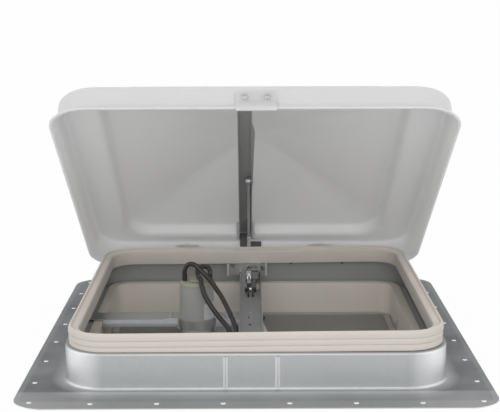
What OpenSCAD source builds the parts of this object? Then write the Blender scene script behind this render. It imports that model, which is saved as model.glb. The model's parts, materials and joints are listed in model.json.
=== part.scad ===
// Caravan roof vent with hinged lid, crank operator and 12 V fan.
// The lid is drawn open. X runs to the right, Y to the hinge side, Z up.
// The origin is the centre of the flange's underside, where it meets the roof.

/* [Base] */
// Reach of the roof flange beyond the curb at the sides
flange_side = 40.5; // [35:0.5:55]
// Reach of the roof flange beyond the curb at the front and rear
flange_end = 48; // [40:0.5:60]
// Corner radius of the roof flange
flange_r = 28; // [10:1:50]
// Thickness of the galvanised sheet
sheet_t = 1; // [0.7:0.1:1.6]
// Half width of the raised curb
curb_half = 188; // [176:1:200]
// Corner radius of the raised curb
curb_r = 42; // [30:1:60]
// Height of the curb's shoulder
curb_h = 38; // [34:0.5:40]
// Height of the rim that carries the seal
rim_h = 53; // [49:0.5:55]
// Step from the curb wall in to the rim
rim_inset = 8; // [7:0.5:11]
// Distance of the screw holes from the flange's edge
hole_inset = 12; // [8:0.5:16]
// Diameter of the screw holes
hole_d = 5; // [3:0.5:7]
// Pitch of the screw holes along the width
hole_pitch_x = 62; // [50:1:66]
// Pitch of the screw holes along the depth
hole_pitch_y = 66; // [50:1:70]
// Spacing of the embossed ribs in the front and rear walls
rib_gap = 50; // [40:1:90]

/* [Seal] */
// Thickness of the seal above the rim
seal_top = 5.4; // [3:0.1:7]
// Thickness of the seal's inner leg
seal_in_t = 5; // [3:0.5:7]
// Height of the seal's inner leg
seal_in_h = 14; // [10:0.5:18]
// Thickness of the seal's outer leg between its bands
seal_out_t = 3.8; // [2.5:0.1:4.5]
// How far each outer band bulges
band_bulge = 1.2; // [0.5:0.1:1.6]
// Fall of the seal's top towards its inner edge
seal_fall = 2.5; // [1:0.1:3]

/* [Lid] */
// Reach of the lid's lip beyond the curb at the sides
lid_side_over = 19; // [17:0.5:22]
// Reach of the lid's lip beyond the curb at the front
lid_front_over = 10; // [8.5:0.5:14]
// Corner radius of the lid's lip
lid_r = 40; // [30:1:60]
// Depth of the lid's skirt
skirt_h = 29; // [26:0.5:34]
// How far the lip flares out
lip_flare = 7; // [4:0.5:8]
// Wall of the lid
lid_t = 2.4; // [1.6:0.1:3]
// Width of the flat border at the sides
border_side = 40; // [32:1:50]
// Width of the flat border at the front and rear
border_end = 21; // [18:1:22]
// Height of the step round the crown
step_h = 14; // [12:0.5:18]
// Rise of the crown above the step
crown_rise = 36; // [20:1:45]
// Angle that the lid stands open
open_angle = 36; // [30:1:40]
// Gap between the closed lid and the seal
lid_gap = 0.4; // [0.3:0.1:1.5]

/* [Hinge and operator] */
// Diameter of the hinge pin
pin_d = 6; // [4:0.5:7]
// Length of the hinge pin
pin_len = 204; // [200:1:260]
// Distance from the curb wall back to the hinge pin
hinge_back = 15; // [13:0.5:16]
// Height of the hinge pin
hinge_z = 23; // [22:0.5:24]
// Where the operator stands across the width
operator_x = -4.5; // [-10:0.5:10]
// Width of the operator channel
channel_w = 26; // [24:1:32]
// Height of the operator channel's sides
channel_side = 9; // [5:0.5:12]
// Reach of the lift arm's inner leg from the hinge pin
leg_reach = 55; // [52:0.5:57]
// Height of the traveller with the lid open
traveller_z = 30; // [29:0.5:31]
// Travel of the traveller from open to closed
traveller_run = 37; // [35:0.5:38]
// Thickness of the lift arm
arm_t = 3; // [2:0.5:3.5]
// Distance of the arm's pin from the lid's rear lip
arm_pin_s = 173; // [150:1:220]
// Diameter of the crank screw
screw_d = 5; // [4:0.5:5.5]
// Radius of the crank knob
knob_r = 19; // [14:0.5:20]

/* [Garnish and screen] */
// Distance from the curb's wall in to the garnish's wall
garnish_inset = 16; // [14:0.5:18]
// Wall of the garnish
garnish_t = 2; // [1.5:0.1:3]
// Corner radius of the garnish's wall
garnish_r = 16; // [14:1:26]
// Width of the garnish's top lip
lip_w = 8; // [6:0.5:9]
// Height of the garnish's top lip
garnish_top = 12.5; // [9:0.5:13]
// Depth of the garnish below the flange
garnish_depth = 52; // [50:1:75]
// Depth of the screen ledge below the flange
ledge_depth = 29; // [28:0.5:31]
// Width of the ceiling flange
ceiling_flange = 28; // [15:1:40]
// Width of the front ledge that holds the switch
front_ledge = 32; // [30:1:40]
// Gaps in the screen along each side
mesh_gaps = 16; // [8:1:17]

/* [Fan and motor] */
// Where the motor stands across the width
motor_x = -65; // [-80:1:-62]
// Where the motor stands along the depth
motor_y = 12; // [-5:1:20]
// Diameter of the motor
motor_d = 38; // [34:0.5:40]
// Height of the motor can
motor_h = 53; // [48:0.5:56]
// Height of the motor's end cap
cap_h = 8; // [7:0.5:12]
// Diameter of the fan
fan_d = 168; // [120:1:168]
// Number of fan blades
blades = 4; // [3:1:6]
// Width of the motor straps
strap_w = 40; // [30:1:44]

/* [Hidden] */
$fn = 48;

// Clearance between pieces that move past each other
gap = 0.4;
// Radial clearance of a pin or shaft in its bore
fit = 0.05;
// Overlap that lets a cut run past a face
cut = 1;

// Base levels
foot_r = 3;
shoulder_r = 2.5;
wall_in = curb_half - sheet_t;
wall_top = curb_h - shoulder_r - 0.5;
flange_w = 2 * (curb_half + flange_side);
flange_d = 2 * (curb_half + flange_end);
rim_out = curb_half - rim_inset;
seal_z = rim_h + seal_top;

// Hinge axis and lid in its closed place
hinge_y = curb_half + hinge_back;
lid_border_z = seal_z + lid_gap;
lip_z = lid_border_z - skirt_h;
lid_rear = hinge_y + 5;
lid_w = 2 * (curb_half + lid_side_over);
lid_d = lid_rear + curb_half + lid_front_over;
lid_cy = lid_rear - lid_d / 2;
skirt_x = lid_w / 2 - lip_flare;
skirt_y = lid_d / 2 - lip_flare;
crown_x = skirt_x - lid_t - border_side;
crown_y = skirt_y - lid_t - border_end;
crown_z = lid_border_z + step_h;
skirt_rear_in = lid_cy + skirt_y - lid_t;
draft = 4;
slice = 0.4;
peak_half = 42;
shoulder_rise = 0.82 * crown_rise;
lid_ch_w = 16;
lid_ch_x = operator_x - 6;
lid_ch_top = crown_z - 1.2;
lid_ch_rear = skirt_rear_in - lid_t - 0.8;
lid_ch_front = lid_cy - crown_y + 9;
lid_ch_screws = [lid_ch_front + 12, lid_cy + crown_y - 21];
flange_drop = 11;
lid_ch_left = lid_ch_x - lid_ch_w / 2;
lid_ch_right = lid_ch_x + lid_ch_w / 2;
lid_ch_play = 1.4;
lid_lip = 2.9;
arm_x = operator_x - 1.8;
arm_top = lid_ch_top - sheet_t - gap;
arm_low = seal_z + 2.4;
arm_clear = 0.7;

// Foot at the lower rear end of the lid's channel and arm
foot_len = 14.4;
foot_z = lid_border_z - 8.4;
foot_h = 6.8;

// Operator
floor_z = garnish_top + 1.8 + sheet_t;
floor_under = floor_z - sheet_t;
screw_x = arm_x + arm_t / 2 + 0.5 + 4.5;
screw_y = hinge_y - leg_reach;
nut_w = 9;
nut_l = 12;
nut_h = 9;
peg_r = 2;
shelf_z = traveller_z + nut_h / 2 + 2;
cage_floor = traveller_z - traveller_run - nut_h / 2 - 2.9;
ch_left = operator_x - channel_w / 2;
ch_right = operator_x + channel_w / 2;
window_left = arm_x - arm_t / 2 - 3;
window_right = screw_x + nut_w / 2 + 1.5;
window_front = hinge_y - leg_reach - 18;
window_rear = wall_in - 7;
hub_r = 7;

// Garnish
garnish_half = curb_half - garnish_inset;
lip_gap = 0.6;
rail_low = 4.5;

// Switch in the front ledge
switch_x = -25;
switch_y = -garnish_half + garnish_t + 15;
switch_w = 14;
switch_l = 22;
switch_up = 15;
switch_wall = 2;
pivot_r = 1.2;
pivot_in = 1;
tab_gap = 8;
tab_h = 5;

// Screen
ledge_t = 2;
tab_top = switch_up - ledge_depth - ledge_t + tab_h;
frame_w = 7;
frame_r = garnish_r - 3;
frame_h = 4;
frame_x = garnish_half - garnish_t - 1.5;
frame_rear = frame_x;
frame_front = switch_y + switch_l / 2 + 1.4;
mesh_z = -ledge_depth + frame_h / 2;
mesh_x = frame_x - frame_w;
mesh_cy = (frame_rear + frame_front) / 2;
mesh_y = (frame_rear - frame_front) / 2 - frame_w;
grommet_r = frame_rear - frame_w - screw_y - 0.5;

// Motor and fan
motor_low = -1;
motor_top = motor_low + motor_h;
strap_top = floor_under;
strap_drop = 3.5;
strap_front = motor_y - strap_w / 2;
strap_flat = 9;
fan_z = -10;

// Wire routes, from the motor's terminals to the switch's tabs
wire_d = 5.4;
drawn_motor = [-65, 12, 57];
drawn_switch = [-25, -155, -9];
points_a = [
    [-78, 10, 60], [-78, 10, 66], [-76.5, 9.5, 71.5], [-72.5, 8.5, 74.5], [-67.5, 7.5, 73.6],
    [-63, 6, 70.4], [-58.5, 4, 66.8], [-53, 1.5, 62], [-47.4, -2, 56.6], [-42, -8.5, 51],
    [-37, -16.5, 46], [-32.4, -25, 40], [-27.8, -33, 33], [-23.8, -40, 26.5], [-21, -48, 20],
    [-20.6, -60, 14.5], [-20.8, -72, 11.5], [-21, -85, 10], [-21, -98, 9.5], [-21, -111, 9],
    [-21, -124, 8.5], [-21, -136, 7], [-21, -146, 3.5], [-21, -152.5, -1.5], [-21, -155, -5.5],
    [-21, -155, -9]];
points_b = [
    [-50, 14, 60], [-50, 14, 65], [-51.2, 14.4, 69.5], [-53.8, 13.6, 71.2], [-56.2, 11, 67.5],
    [-57.6, 8, 62], [-58.6, 3, 59.7], [-59.5, -3, 59.9], [-59.6, -9, 58], [-57.8, -13.5, 52],
    [-54, -17.5, 45], [-48.6, -21.5, 37], [-42.8, -25.5, 30], [-37, -30.5, 24.4], [-31.8, -36.5, 20.2],
    [-28.6, -44, 17.4], [-27.6, -54, 15.8], [-27.6, -66, 14.4], [-28, -80, 13], [-29, -95, 11.5],
    [-29, -109, 10.5], [-29, -122, 10], [-29, -134, 8.5], [-29, -144.5, 5], [-29, -152, -0.5],
    [-29, -155, -5.5], [-29, -155, -9]];

// A route drawn for the default places, with its ends kept on the motor and the switch
function follow(p) = let (n = len(p) - 1, from = [motor_x, motor_y, motor_top + cap_h] - drawn_motor,
    to = [switch_x, switch_y, tab_top] - drawn_switch)
    [for (i = [0:n]) let (w = max(0, min(1, (n - 4 - i) / (n - 7)))) p[i] + w * from + (1 - w) * to];
route_a = follow(points_a);
route_b = follow(points_b);

galvanised = [0.66, 0.68, 0.69];
zinc = [0.78, 0.79, 0.8];
dark_steel = [0.4, 0.41, 0.42];
cream = [0.84, 0.81, 0.75];
white = [0.92, 0.92, 0.92];
black = [0.09, 0.09, 0.09];
grey = [0.5, 0.51, 0.5];

// Points on an arc about c, from angle a to angle b
function arc(c, r, a, b, n = 6) = [for (i = [0:n]) c + r * [cos(a + (b - a) * i / n), sin(a + (b - a)
    * i / n)]];

// Point that the traveller's peg has in the arm's own frame when the lid has closed by t degrees
function peg_at(t) = let (y = -leg_reach, z = traveller_z - hinge_z - traveller_run * t / open_angle)
    [y * cos(t) + z * sin(t), z * cos(t) - y * sin(t)];

// A profile swept round a rounded rectangle: x is the distance outwards, y the height
module ring_sweep(hx, hy, r) {
    for (k = [0:3]) {
        half = k % 2 == 0 ? hx : hy;
        run = k % 2 == 0 ? hy : hx;
        rotate([0, 0, 90 * k]) {
            translate([half, 0, 0]) rotate([90, 0, 0]) linear_extrude(2 * (run - r), center = true)
                children();
            translate([half - r, run - r, 0]) rotate_extrude(angle = 90) translate([r, 0]) children();
        }
    }
}

// A rounded rectangle with half sizes hx and hy
module rounded(hx, hy, r) {
    square([2 * hx, 2 * (hy - r)], center = true);
    square([2 * (hx - r), 2 * hy], center = true);
    for (x = [-1, 1], y = [-1, 1]) translate([x * (hx - r), y * (hy - r)]) circle(r);
}

// A block between two corners
module block(a, b) {
    translate(a) cube(b - a);
}

// A plate in the YZ plane, of thickness t about x
module side_plate(x, t) {
    translate([x - t / 2, 0, 0]) rotate([90, 0, 90]) linear_extrude(t) children();
}

// Turns the closed lid's pieces to where the lid stands open
module lid_open() {
    translate([0, hinge_y, hinge_z]) rotate([-open_angle, 0, 0]) translate([0, -hinge_y, -hinge_z])
        children();
}

// A tube of diameter d through the points of a route
function unit(v) = v / norm(v);
function heading(p, i) = unit(p[min(i + 1, len(p) - 1)] - p[max(i - 1, 0)]);
function sideways(d) = unit(cross(d, [0.31, 0.95, 0.05]));
module tube(p, d, sides = 10) {
    rings = [for (i = [0:len(p) - 1]) let (h = heading(p, i), u = sideways(h), v = cross(h, u))
        for (k = [0:sides - 1]) p[i] + d / 2 * (u * cos(360 * k / sides) + v * sin(360 * k / sides))];
    n = len(p);
    walls = [for (i = [0:n - 2], k = [0:sides - 1]) let (a = i * sides + k, b = i * sides + (k + 1) % sides)
        each [[a, a + sides, b], [b, a + sides, b + sides]]];
    start = [for (k = [1:sides - 2]) [0, k, k + 1]];
    end = [for (k = [1:sides - 2]) [(n - 1) * sides, (n - 1) * sides + k + 1, (n - 1) * sides + k]];
    polyhedron(rings, concat(walls, start, end));
}

// Base pressing

module base_profile() {
    polygon(concat(
        [[foot_r + 2, 0], [foot_r + 2, sheet_t]],
        arc([foot_r, sheet_t + foot_r], foot_r, 270, 180),
        arc([-shoulder_r, curb_h - shoulder_r], shoulder_r, 0, 90),
        [[-rim_inset, curb_h], [-rim_inset, rim_h], [-rim_inset - sheet_t, rim_h],
            [-rim_inset - sheet_t, curb_h - sheet_t]],
        arc([-shoulder_r, curb_h - shoulder_r], shoulder_r - sheet_t, 90, 0),
        arc([foot_r, sheet_t + foot_r], foot_r + sheet_t, 180, 270)));
}

module flange_holes() {
    x = flange_w / 2 - hole_inset;
    y = flange_d / 2 - hole_inset;
    for (s = [-1, 1]) {
        for (i = [-2.5:2.5]) {
            translate([i * hole_pitch_x, s * y]) circle(d = hole_d);
            translate([s * x, i * hole_pitch_y]) circle(d = hole_d);
        }
        for (t = [-1, 1]) translate([s * (x - 4), t * (y - 4)]) circle(d = hole_d);
    }
}

module base_ribs() {
    for (s = [-1, 1], k = [-1, 1]) intersection() {
        translate([operator_x + k * rib_gap / 2, s * (curb_half - 1.4), foot_r + 1])
            cylinder(r = 2.8, h = curb_h - shoulder_r - foot_r - 2);
        translate([0, s * (curb_half + 4.6), curb_h / 2]) cube([2 * curb_half, 10, curb_h], center = true);
    }
}

module base_pan() {
    color(galvanised) difference() {
        union() {
            linear_extrude(sheet_t) difference() {
                rounded(flange_w / 2, flange_d / 2, flange_r);
                rounded(curb_half + foot_r + 1, curb_half + foot_r + 1, curb_r + foot_r + 1);
                flange_holes();
            }
            ring_sweep(curb_half, curb_half, curb_r) base_profile();
            base_ribs();
        }
        block([arm_x - arm_t / 2 - 2 * gap, wall_in - cut, hinge_z - 15], [arm_x + arm_t / 2 + 2 * gap,
            curb_half + cut, hinge_z + 7.6]);
    }
}

module seal_profile() {
    out = -rim_inset + seal_out_t;
    inn = -rim_inset - sheet_t - seal_in_t;
    low = curb_h + 0.2;
    leg = max(rim_h - seal_in_h, shelf_z + 2 * sheet_t + gap);
    bands = 3;
    band_taper = 0.8;
    step = (seal_z - 2.2 - low) / bands;
    arc_r = (step * step / 4 + band_bulge * band_bulge) / (2 * band_bulge);
    half = asin(step / 2 / arc_r);
    polygon(concat(
        [[-rim_inset + 0.1, low]],
        [for (i = [0:bands - 1]) each arc([out + band_bulge - arc_r - band_taper * (bands - 1 - i),
            low + step * (i + 0.5)], arc_r, -half, half, 5)],
        arc([out - 2.2, seal_z - 2.2], 2.2, 30, 90, 3),
        arc([inn + 2.2, seal_z - seal_fall - 2.2], 2.2, 90, 180, 4),
        [[inn, leg + 1], [inn + 1, leg], [-rim_inset - sheet_t - 0.1, leg],
            [-rim_inset - sheet_t - 0.1, rim_h + 0.1], [-rim_inset + 0.1, rim_h + 0.1]]));
}

module rim_seal() {
    color(cream) ring_sweep(curb_half, curb_half, curb_r) seal_profile();
}

// Hinge

foot_x = 85;
lug_low = hinge_z - 12;
lug_high = hinge_z + 4;
lug_xs = [-foot_x - 10, -foot_x + 10, arm_x - 8, arm_x + 8, foot_x - 10, foot_x + 10];

// Which way a lug's base plate points, away from the piece that turns beside it
function lug_side(x) = abs(x) > foot_x / 2 ? sign(x) * sign(abs(x) - foot_x) : sign(x - arm_x);

module hinge_lugs() {
    color(galvanised) for (x = lug_xs) difference() {
        union() {
            block([x - 1.5 + min(0, 10 * lug_side(x)), curb_half, lug_low],
                [x + 1.5 + max(0, 10 * lug_side(x)), curb_half + 2, lug_high]);
            side_plate(x, 3) {
                polygon([[curb_half, lug_low + 1], [hinge_y, hinge_z - 6.4], [hinge_y, hinge_z + 6],
                    [curb_half, lug_high]]);
                translate([hinge_y, hinge_z]) circle(6.4);
            }
        }
        side_plate(x, 8) translate([hinge_y, hinge_z]) circle(pin_d / 2 + fit);
    }
}

module lug_rivets() {
    color(zinc) for (x = lug_xs, z = [lug_low + 4, lug_high - 4])
        translate([x + 6.5 * lug_side(x), curb_half + 2, z]) rotate([-90, 0, 0]) cylinder(r = 2, h = 1.2);
}

module hinge_pin() {
    color(zinc) translate([-pin_len / 2, hinge_y, hinge_z]) rotate([0, 90, 0]) {
        cylinder(d = pin_d, h = pin_len);
        for (x = [-1.6, pin_len]) translate([0, 0, x]) cylinder(d = pin_d + 3, h = 1.6);
    }
}

// Operator bracket, channel and screw cage

bracket_left = operator_x - 29.5;
bracket_right = operator_x + 21;
bracket_low = floor_z + 5;
bracket_hem = 2.4;
stem_left = ch_left + sheet_t + gap;
stem_right = ch_right - sheet_t - gap;
rim_in = rim_out - sheet_t;
plate_y = rim_in - sheet_t;
leg_slot_top = hinge_z + 9.4;

module operator_bracket() {
    color(zinc) difference() {
        union() {
            block([bracket_left, plate_y, floor_z + channel_side + gap], [bracket_right, rim_in,
                shelf_z + 2 * sheet_t]);
            block([bracket_left, plate_y, bracket_low], [ch_left - lip_gap, rim_in, shelf_z]);
            block([ch_right + lip_gap, plate_y, bracket_low], [bracket_right, rim_in, shelf_z]);
            for (x = [bracket_left, bracket_right - bracket_hem])
                block([x, plate_y - sheet_t, bracket_low], [x + bracket_hem, rim_in, shelf_z + sheet_t]);
            block([stem_left, plate_y, floor_z], [stem_right, rim_in, shelf_z]);
            block([stem_left, plate_y, floor_z], [stem_right, wall_in - gap, floor_z + sheet_t]);
            block([screw_x - 4.4, screw_y - 7, shelf_z], [screw_x + 7.5, rim_in, shelf_z + sheet_t]);
        }
        block([arm_x - arm_t / 2 - 2 * gap, plate_y - cut, floor_z - cut], [arm_x + arm_t / 2 + 2 * gap,
            curb_half, leg_slot_top]);
        translate([screw_x, screw_y, shelf_z - cut]) cylinder(r = screw_d / 2 + 1.5, h = sheet_t + 2 * cut);
    }
}

module bracket_screws() {
    color(zinc) for (p = [[bracket_left + 7, shelf_z - 3], [bracket_right - 6, shelf_z - 7]])
        translate([p[0], plate_y, p[1]]) rotate([90, 0, 0]) difference() {
            cylinder(r1 = 3, r2 = 2, h = 1.6);
            for (a = [0, 90]) rotate([0, 0, a]) translate([-1.6, -0.3, 0.9]) cube([3.2, 0.6, 1]);
        }
}

module operator_channel() {
    color(galvanised) difference() {
        union() {
            block([ch_left, -wall_in, floor_under], [ch_right, wall_in, floor_z]);
            for (x = [ch_left, ch_right - sheet_t])
                block([x, -wall_in, floor_under], [x + sheet_t, wall_in, floor_z + channel_side]);
            block([ch_left, -wall_in, floor_under], [ch_right, -wall_in + sheet_t, wall_top]);
        }
        block([window_left, window_front, floor_under - cut], [window_right, window_rear, floor_z + cut]);
        block([arm_x - arm_t / 2 - 2 * gap, window_front, floor_under - cut], [arm_x + arm_t / 2 + 2 * gap,
            wall_in + cut, floor_z + cut]);
        for (y = [-13, 16]) block([operator_x - 5, y, floor_under - cut], [operator_x + 5, y + 2,
            floor_z + cut]);
    }
}

module channel_rivets() {
    color(zinc) {
        for (k = [-1, 1]) translate([operator_x + k * 7, -wall_in + sheet_t, floor_z + 8])
            rotate([-90, 0, 0])
            cylinder(r = 2, h = 1.2);
        for (x = [ch_left + 4.5, ch_right - 5])
            translate([x, wall_in - 4, floor_z + sheet_t]) cylinder(r = 1.6, h = sheet_t);
    }
}

module channel_bumpers() {
    color(black) for (k = [-1, 1]) {
        translate([operator_x + k * 2.6, window_front - 35, floor_z]) {
            block([-1.1, 0, 0], [1.1, 30, 2.5]);
            block([min(-1.1, k * 4.4), 22, 0], [max(1.1, k * 4.4), 30, 4]);
        }
    }
}

module screw_cage() {
    left = window_left - 0.2;
    right = window_right + 0.2;
    color(galvanised) difference() {
        union() {
            block([left - sheet_t, screw_y - 7, cage_floor], [left, screw_y + 7, floor_under]);
            block([right, screw_y - 7, cage_floor], [right + sheet_t, screw_y + 7, floor_under]);
            block([left - sheet_t, screw_y - 7, cage_floor], [right + sheet_t, screw_y + 7,
                cage_floor + sheet_t]);
            block([left - 4, screw_y - 7, floor_under - sheet_t], [left, screw_y + 7, floor_under]);
        }
        translate([screw_x, screw_y, cage_floor - cut]) cylinder(r = screw_d / 2 + 1.5,
            h = sheet_t + 2 * cut);
    }
}

module bushing() {
    difference() {
        union() {
            cylinder(r = screw_d / 2 + 1.45, h = sheet_t);
            translate([0, 0, sheet_t]) cylinder(r = screw_d / 2 + 2.2, h = 0.7);
        }
        translate([0, 0, -cut]) cylinder(r = screw_d / 2 + fit, h = sheet_t + 4);
    }
}

module screw_bushings() {
    color(white) {
        translate([screw_x, screw_y, cage_floor]) bushing();
        translate([screw_x, screw_y, shelf_z]) bushing();
    }
}

// Garnish

module garnish_profile() {
    polygon([[lip_w, garnish_top], [lip_w, garnish_top - garnish_t], [0, garnish_top - garnish_t],
        [0, -garnish_depth + garnish_t], [ceiling_flange, -garnish_depth + garnish_t],
        [ceiling_flange, -garnish_depth], [-garnish_t, -garnish_depth], [-garnish_t,
            -ledge_depth - ledge_t],
        [-garnish_t - 8, -ledge_depth - ledge_t], [-garnish_t - 8, -ledge_depth], [-garnish_t,
            -ledge_depth],
        [-garnish_t, garnish_top]]);
}

module garnish() {
    color(cream) difference() {
        union() {
            ring_sweep(garnish_half, garnish_half, garnish_r) garnish_profile();
            block([-garnish_half + 30, -garnish_half + 1, -ledge_depth - ledge_t],
                [garnish_half - 30, -garnish_half + garnish_t + front_ledge, -ledge_depth]);
        }
        arm_notch();
        translate([switch_x, switch_y, -ledge_depth]) cube([switch_w + 0.4, switch_l + 0.4, 10],
            center = true);
    }
}

// Room for the arm's leg at the rear
module arm_notch() {
    block([arm_x - arm_t / 2 - 4 * gap, garnish_half - 8, hinge_z - 32], [arm_x + arm_t / 2 + 4 * gap, curb_half,
        garnish_top + cut]);
}

module garnish_rail() {
    under = garnish_top - garnish_t;
    color(galvanised) difference() {
        union() {
            ring_sweep(wall_in, wall_in, curb_r - sheet_t) translate([-sheet_t, rail_low])
                square([sheet_t, under - rail_low]);
            translate([0, 0, under - sheet_t]) linear_extrude(sheet_t) difference() {
                rounded(wall_in, wall_in, curb_r - sheet_t);
                rounded(garnish_half + gap, garnish_half + gap, garnish_r + gap);
            }
        }
        arm_notch();
    }
}

// Insect screen

module screen_frame() {
    color(zinc) translate([0, mesh_cy, -ledge_depth]) linear_extrude(frame_h) difference() {
        rounded(mesh_x + frame_w, mesh_y + frame_w, frame_r);
        rounded(mesh_x, mesh_y, frame_r - frame_w);
    }
}

module screen_mesh() {
    wire = 1.2;
    pitch_x = 2 * mesh_x / mesh_gaps;
    pitch_y = 2 * mesh_y / mesh_gaps;
    color([0.42, 0.41, 0.38]) translate([0, mesh_cy, mesh_z - wire / 4]) linear_extrude(wire / 2)
        difference() {
        intersection() {
            union() {
                for (i = [1:mesh_gaps - 1]) {
                    translate([-mesh_x + i * pitch_x, 0]) square([wire, 2 * mesh_y], center = true);
                    translate([0, -mesh_y + i * pitch_y]) square([2 * mesh_x, wire], center = true);
                }
            }
            rounded(mesh_x, mesh_y, frame_r - frame_w);
        }
        translate([screw_x, screw_y - mesh_cy]) circle(grommet_r);
    }
}

module screen_clips() {
    color(zinc) for (s = [-1, 1], y = [-60, 90]) {
        block([min(s * (frame_x - 5), s * (garnish_half - garnish_t)), y - 5, -ledge_depth + frame_h],
            [max(s * (frame_x - 5), s * (garnish_half - garnish_t)), y + 5,
                -ledge_depth + frame_h + sheet_t]);
        block([min(s * (garnish_half - garnish_t - sheet_t), s * (garnish_half - garnish_t)), y - 5,
            -ledge_depth + frame_h],
            [max(s * (garnish_half - garnish_t - sheet_t), s * (garnish_half - garnish_t)), y + 5,
                -ledge_depth + frame_h + 10]);
    }
}

module screen_grommet() {
    color(black) translate([screw_x, screw_y, mesh_z - 1.2]) difference() {
        cylinder(r = grommet_r, h = 2.4);
        translate([0, 0, -cut]) cylinder(r = 3 + gap, h = 2.4 + 2 * cut);
    }
}

// Motor, straps and clamp

module strap_profile() {
    rear = motor_y + strap_w / 2 + 2;
    flat = strap_front + strap_flat;
    low = strap_top - strap_drop;
    polygon([[rear, strap_top], [flat + 4, strap_top], [flat, low], [strap_front, low],
        [strap_front, low - sheet_t], [flat, low - sheet_t], [flat + 4, strap_top - sheet_t],
        [rear, strap_top - sheet_t]]);
}

module strap(x0, x1) {
    translate([x0, 0, 0]) rotate([90, 0, 90]) linear_extrude(x1 - x0) strap_profile();
}

strap_end = motor_d / 2 + 2.6;

module motor_strap_left() {
    rear = motor_y + strap_w / 2 + 2;
    color(galvanised) {
        strap(-garnish_half + garnish_t + 0.6, motor_x - strap_end);
        block([-wall_in, motor_y - 4, strap_top - sheet_t], [-garnish_half + garnish_t + cut, rear,
            strap_top]);
        block([-wall_in, motor_y - 4, strap_top - sheet_t], [-wall_in + sheet_t, rear, wall_top]);
    }
}

module motor_strap_right() {
    color(galvanised) strap(motor_x + strap_end, ch_right);
}

module strap_rivets() {
    color(zinc) {
        for (y = [motor_y + 2, motor_y + 16])
            translate([-wall_in + sheet_t, y, strap_top + 8]) rotate([0, 90, 0]) cylinder(r = 2, h = 1.2);
        for (y = [motor_y - 3, motor_y + 16])
            translate([operator_x, y, floor_z]) cylinder(r = 2, h = 1.2);
    }
}

ear_y0 = motor_y - 4;
ear_y1 = motor_y + 14;

module motor_clamp() {
    color(galvanised) difference() {
        union() {
            translate([motor_x, motor_y, strap_top - 8]) cylinder(d = motor_d + 2 * fit + 2.4,
                h = 8 + sheet_t);
            for (s = [-1, 1]) block([min(motor_x, motor_x + s * (strap_end + 14)), ear_y0, strap_top],
                [max(motor_x, motor_x + s * (strap_end + 14)), ear_y1, strap_top + sheet_t]);
        }
        translate([motor_x, motor_y, strap_top - 8 - cut]) cylinder(d = motor_d + 2 * fit,
            h = 8 + sheet_t + 2 * cut);
    }
}

module clamp_screws() {
    color(zinc) for (s = [-1, 1], y = [ear_y0 + 4, ear_y1 - 4])
        translate([motor_x + s * (strap_end + 8), y, strap_top + sheet_t]) difference() {
            cylinder(r = 2.8, h = 1.8);
            for (a = [0, 90]) rotate([0, 0, a]) translate([-1.8, -0.35, 1]) cube([3.6, 0.7, 1]);
        }
}

module motor_can() {
    color(grey) translate([motor_x, motor_y, motor_low]) difference() {
        rotate_extrude() polygon(concat([[0, 0]], arc([motor_d / 2 - 2, 2], 2, 270, 360, 4),
            [[motor_d / 2, motor_h], [0, motor_h]]));
        translate([0, 0, -cut]) cylinder(r = 2.5 + fit, h = 12);
    }
}

module motor_cap() {
    color([0.8, 0.79, 0.68]) translate([motor_x, motor_y, motor_top]) {
        rotate_extrude() polygon(concat([[0, 0], [motor_d / 2 - 0.6, 0]],
            arc([motor_d / 2 - 3.6, cap_h - 5], 3, 0, 90, 5), [[8, cap_h - 2], [8, cap_h], [0, cap_h]]));
    }
}

module motor_terminals() {
    color(black) for (p = [route_a[0], route_b[0]])
        translate([p[0], p[1], motor_top + cap_h - 2]) cylinder(r = 2.8, h = p[2] - motor_top - cap_h + 2);
}

module wire_a() {
    color(black) tube(route_a, wire_d);
}

module wire_b() {
    color(black) tube(route_b, wire_d);
}

// Fan

module fan_shaft() {
    color(zinc) translate([motor_x, motor_y, fan_z - 8]) cylinder(r = 2.5, h = motor_low - fan_z + 14);
}

module fan_rotor() {
    hub = 15;
    color(white) translate([motor_x, motor_y, fan_z]) difference() {
        union() {
            translate([0, 0, -6]) cylinder(r = hub, h = 12);
            for (k = [0:blades - 1]) rotate([0, 0, 360 * k / blades + 20]) intersection() {
                rotate([24, 0, 0]) translate([hub - 3, -18, -0.9]) cube([fan_d / 2, 36, 1.8]);
                cylinder(d = fan_d, h = 40, center = true);
                translate([fan_d / 2 - 42, 0, 0]) cylinder(r = 44, h = 40, center = true);
            }
        }
        translate([0, 0, -20]) cylinder(r = 2.5 + fit, h = 40);
    }
}

// Switch

rocker_z = -ledge_depth - ledge_t;

// The rocker's pivot, which enters the switch's side walls
module rocker_pivot(r, depth) {
    translate([switch_x, switch_y, rocker_z]) rotate([0, 90, 0])
        cylinder(r = r, h = switch_w - 2 * switch_wall + 2 * depth, center = true);
}

module switch_body() {
    low = -ledge_depth - ledge_t;
    color(black) difference() {
        translate([switch_x, switch_y, low]) {
            translate([0, 0, -0.75]) cube([switch_w + 5, switch_l + 5, 1.5], center = true);
            translate([-switch_w / 2, -switch_l / 2, 0]) cube([switch_w, switch_l, switch_up]);
        }
        translate([switch_x, switch_y, low - 2])
            cube([switch_w - 2 * switch_wall, switch_l - 2 * switch_wall, 13], center = true);
        rocker_pivot(pivot_r + fit, pivot_in + gap / 2);
    }
}

module switch_terminals() {
    top = -ledge_depth - ledge_t + switch_up;
    color([0.8, 0.65, 0.3]) for (k = [-1, 1])
        block([switch_x + k * tab_gap / 2 - 0.5, switch_y - 3, top], [switch_x + k * tab_gap / 2 + 0.5,
            switch_y + 3, top + tab_h]);
}

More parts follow.
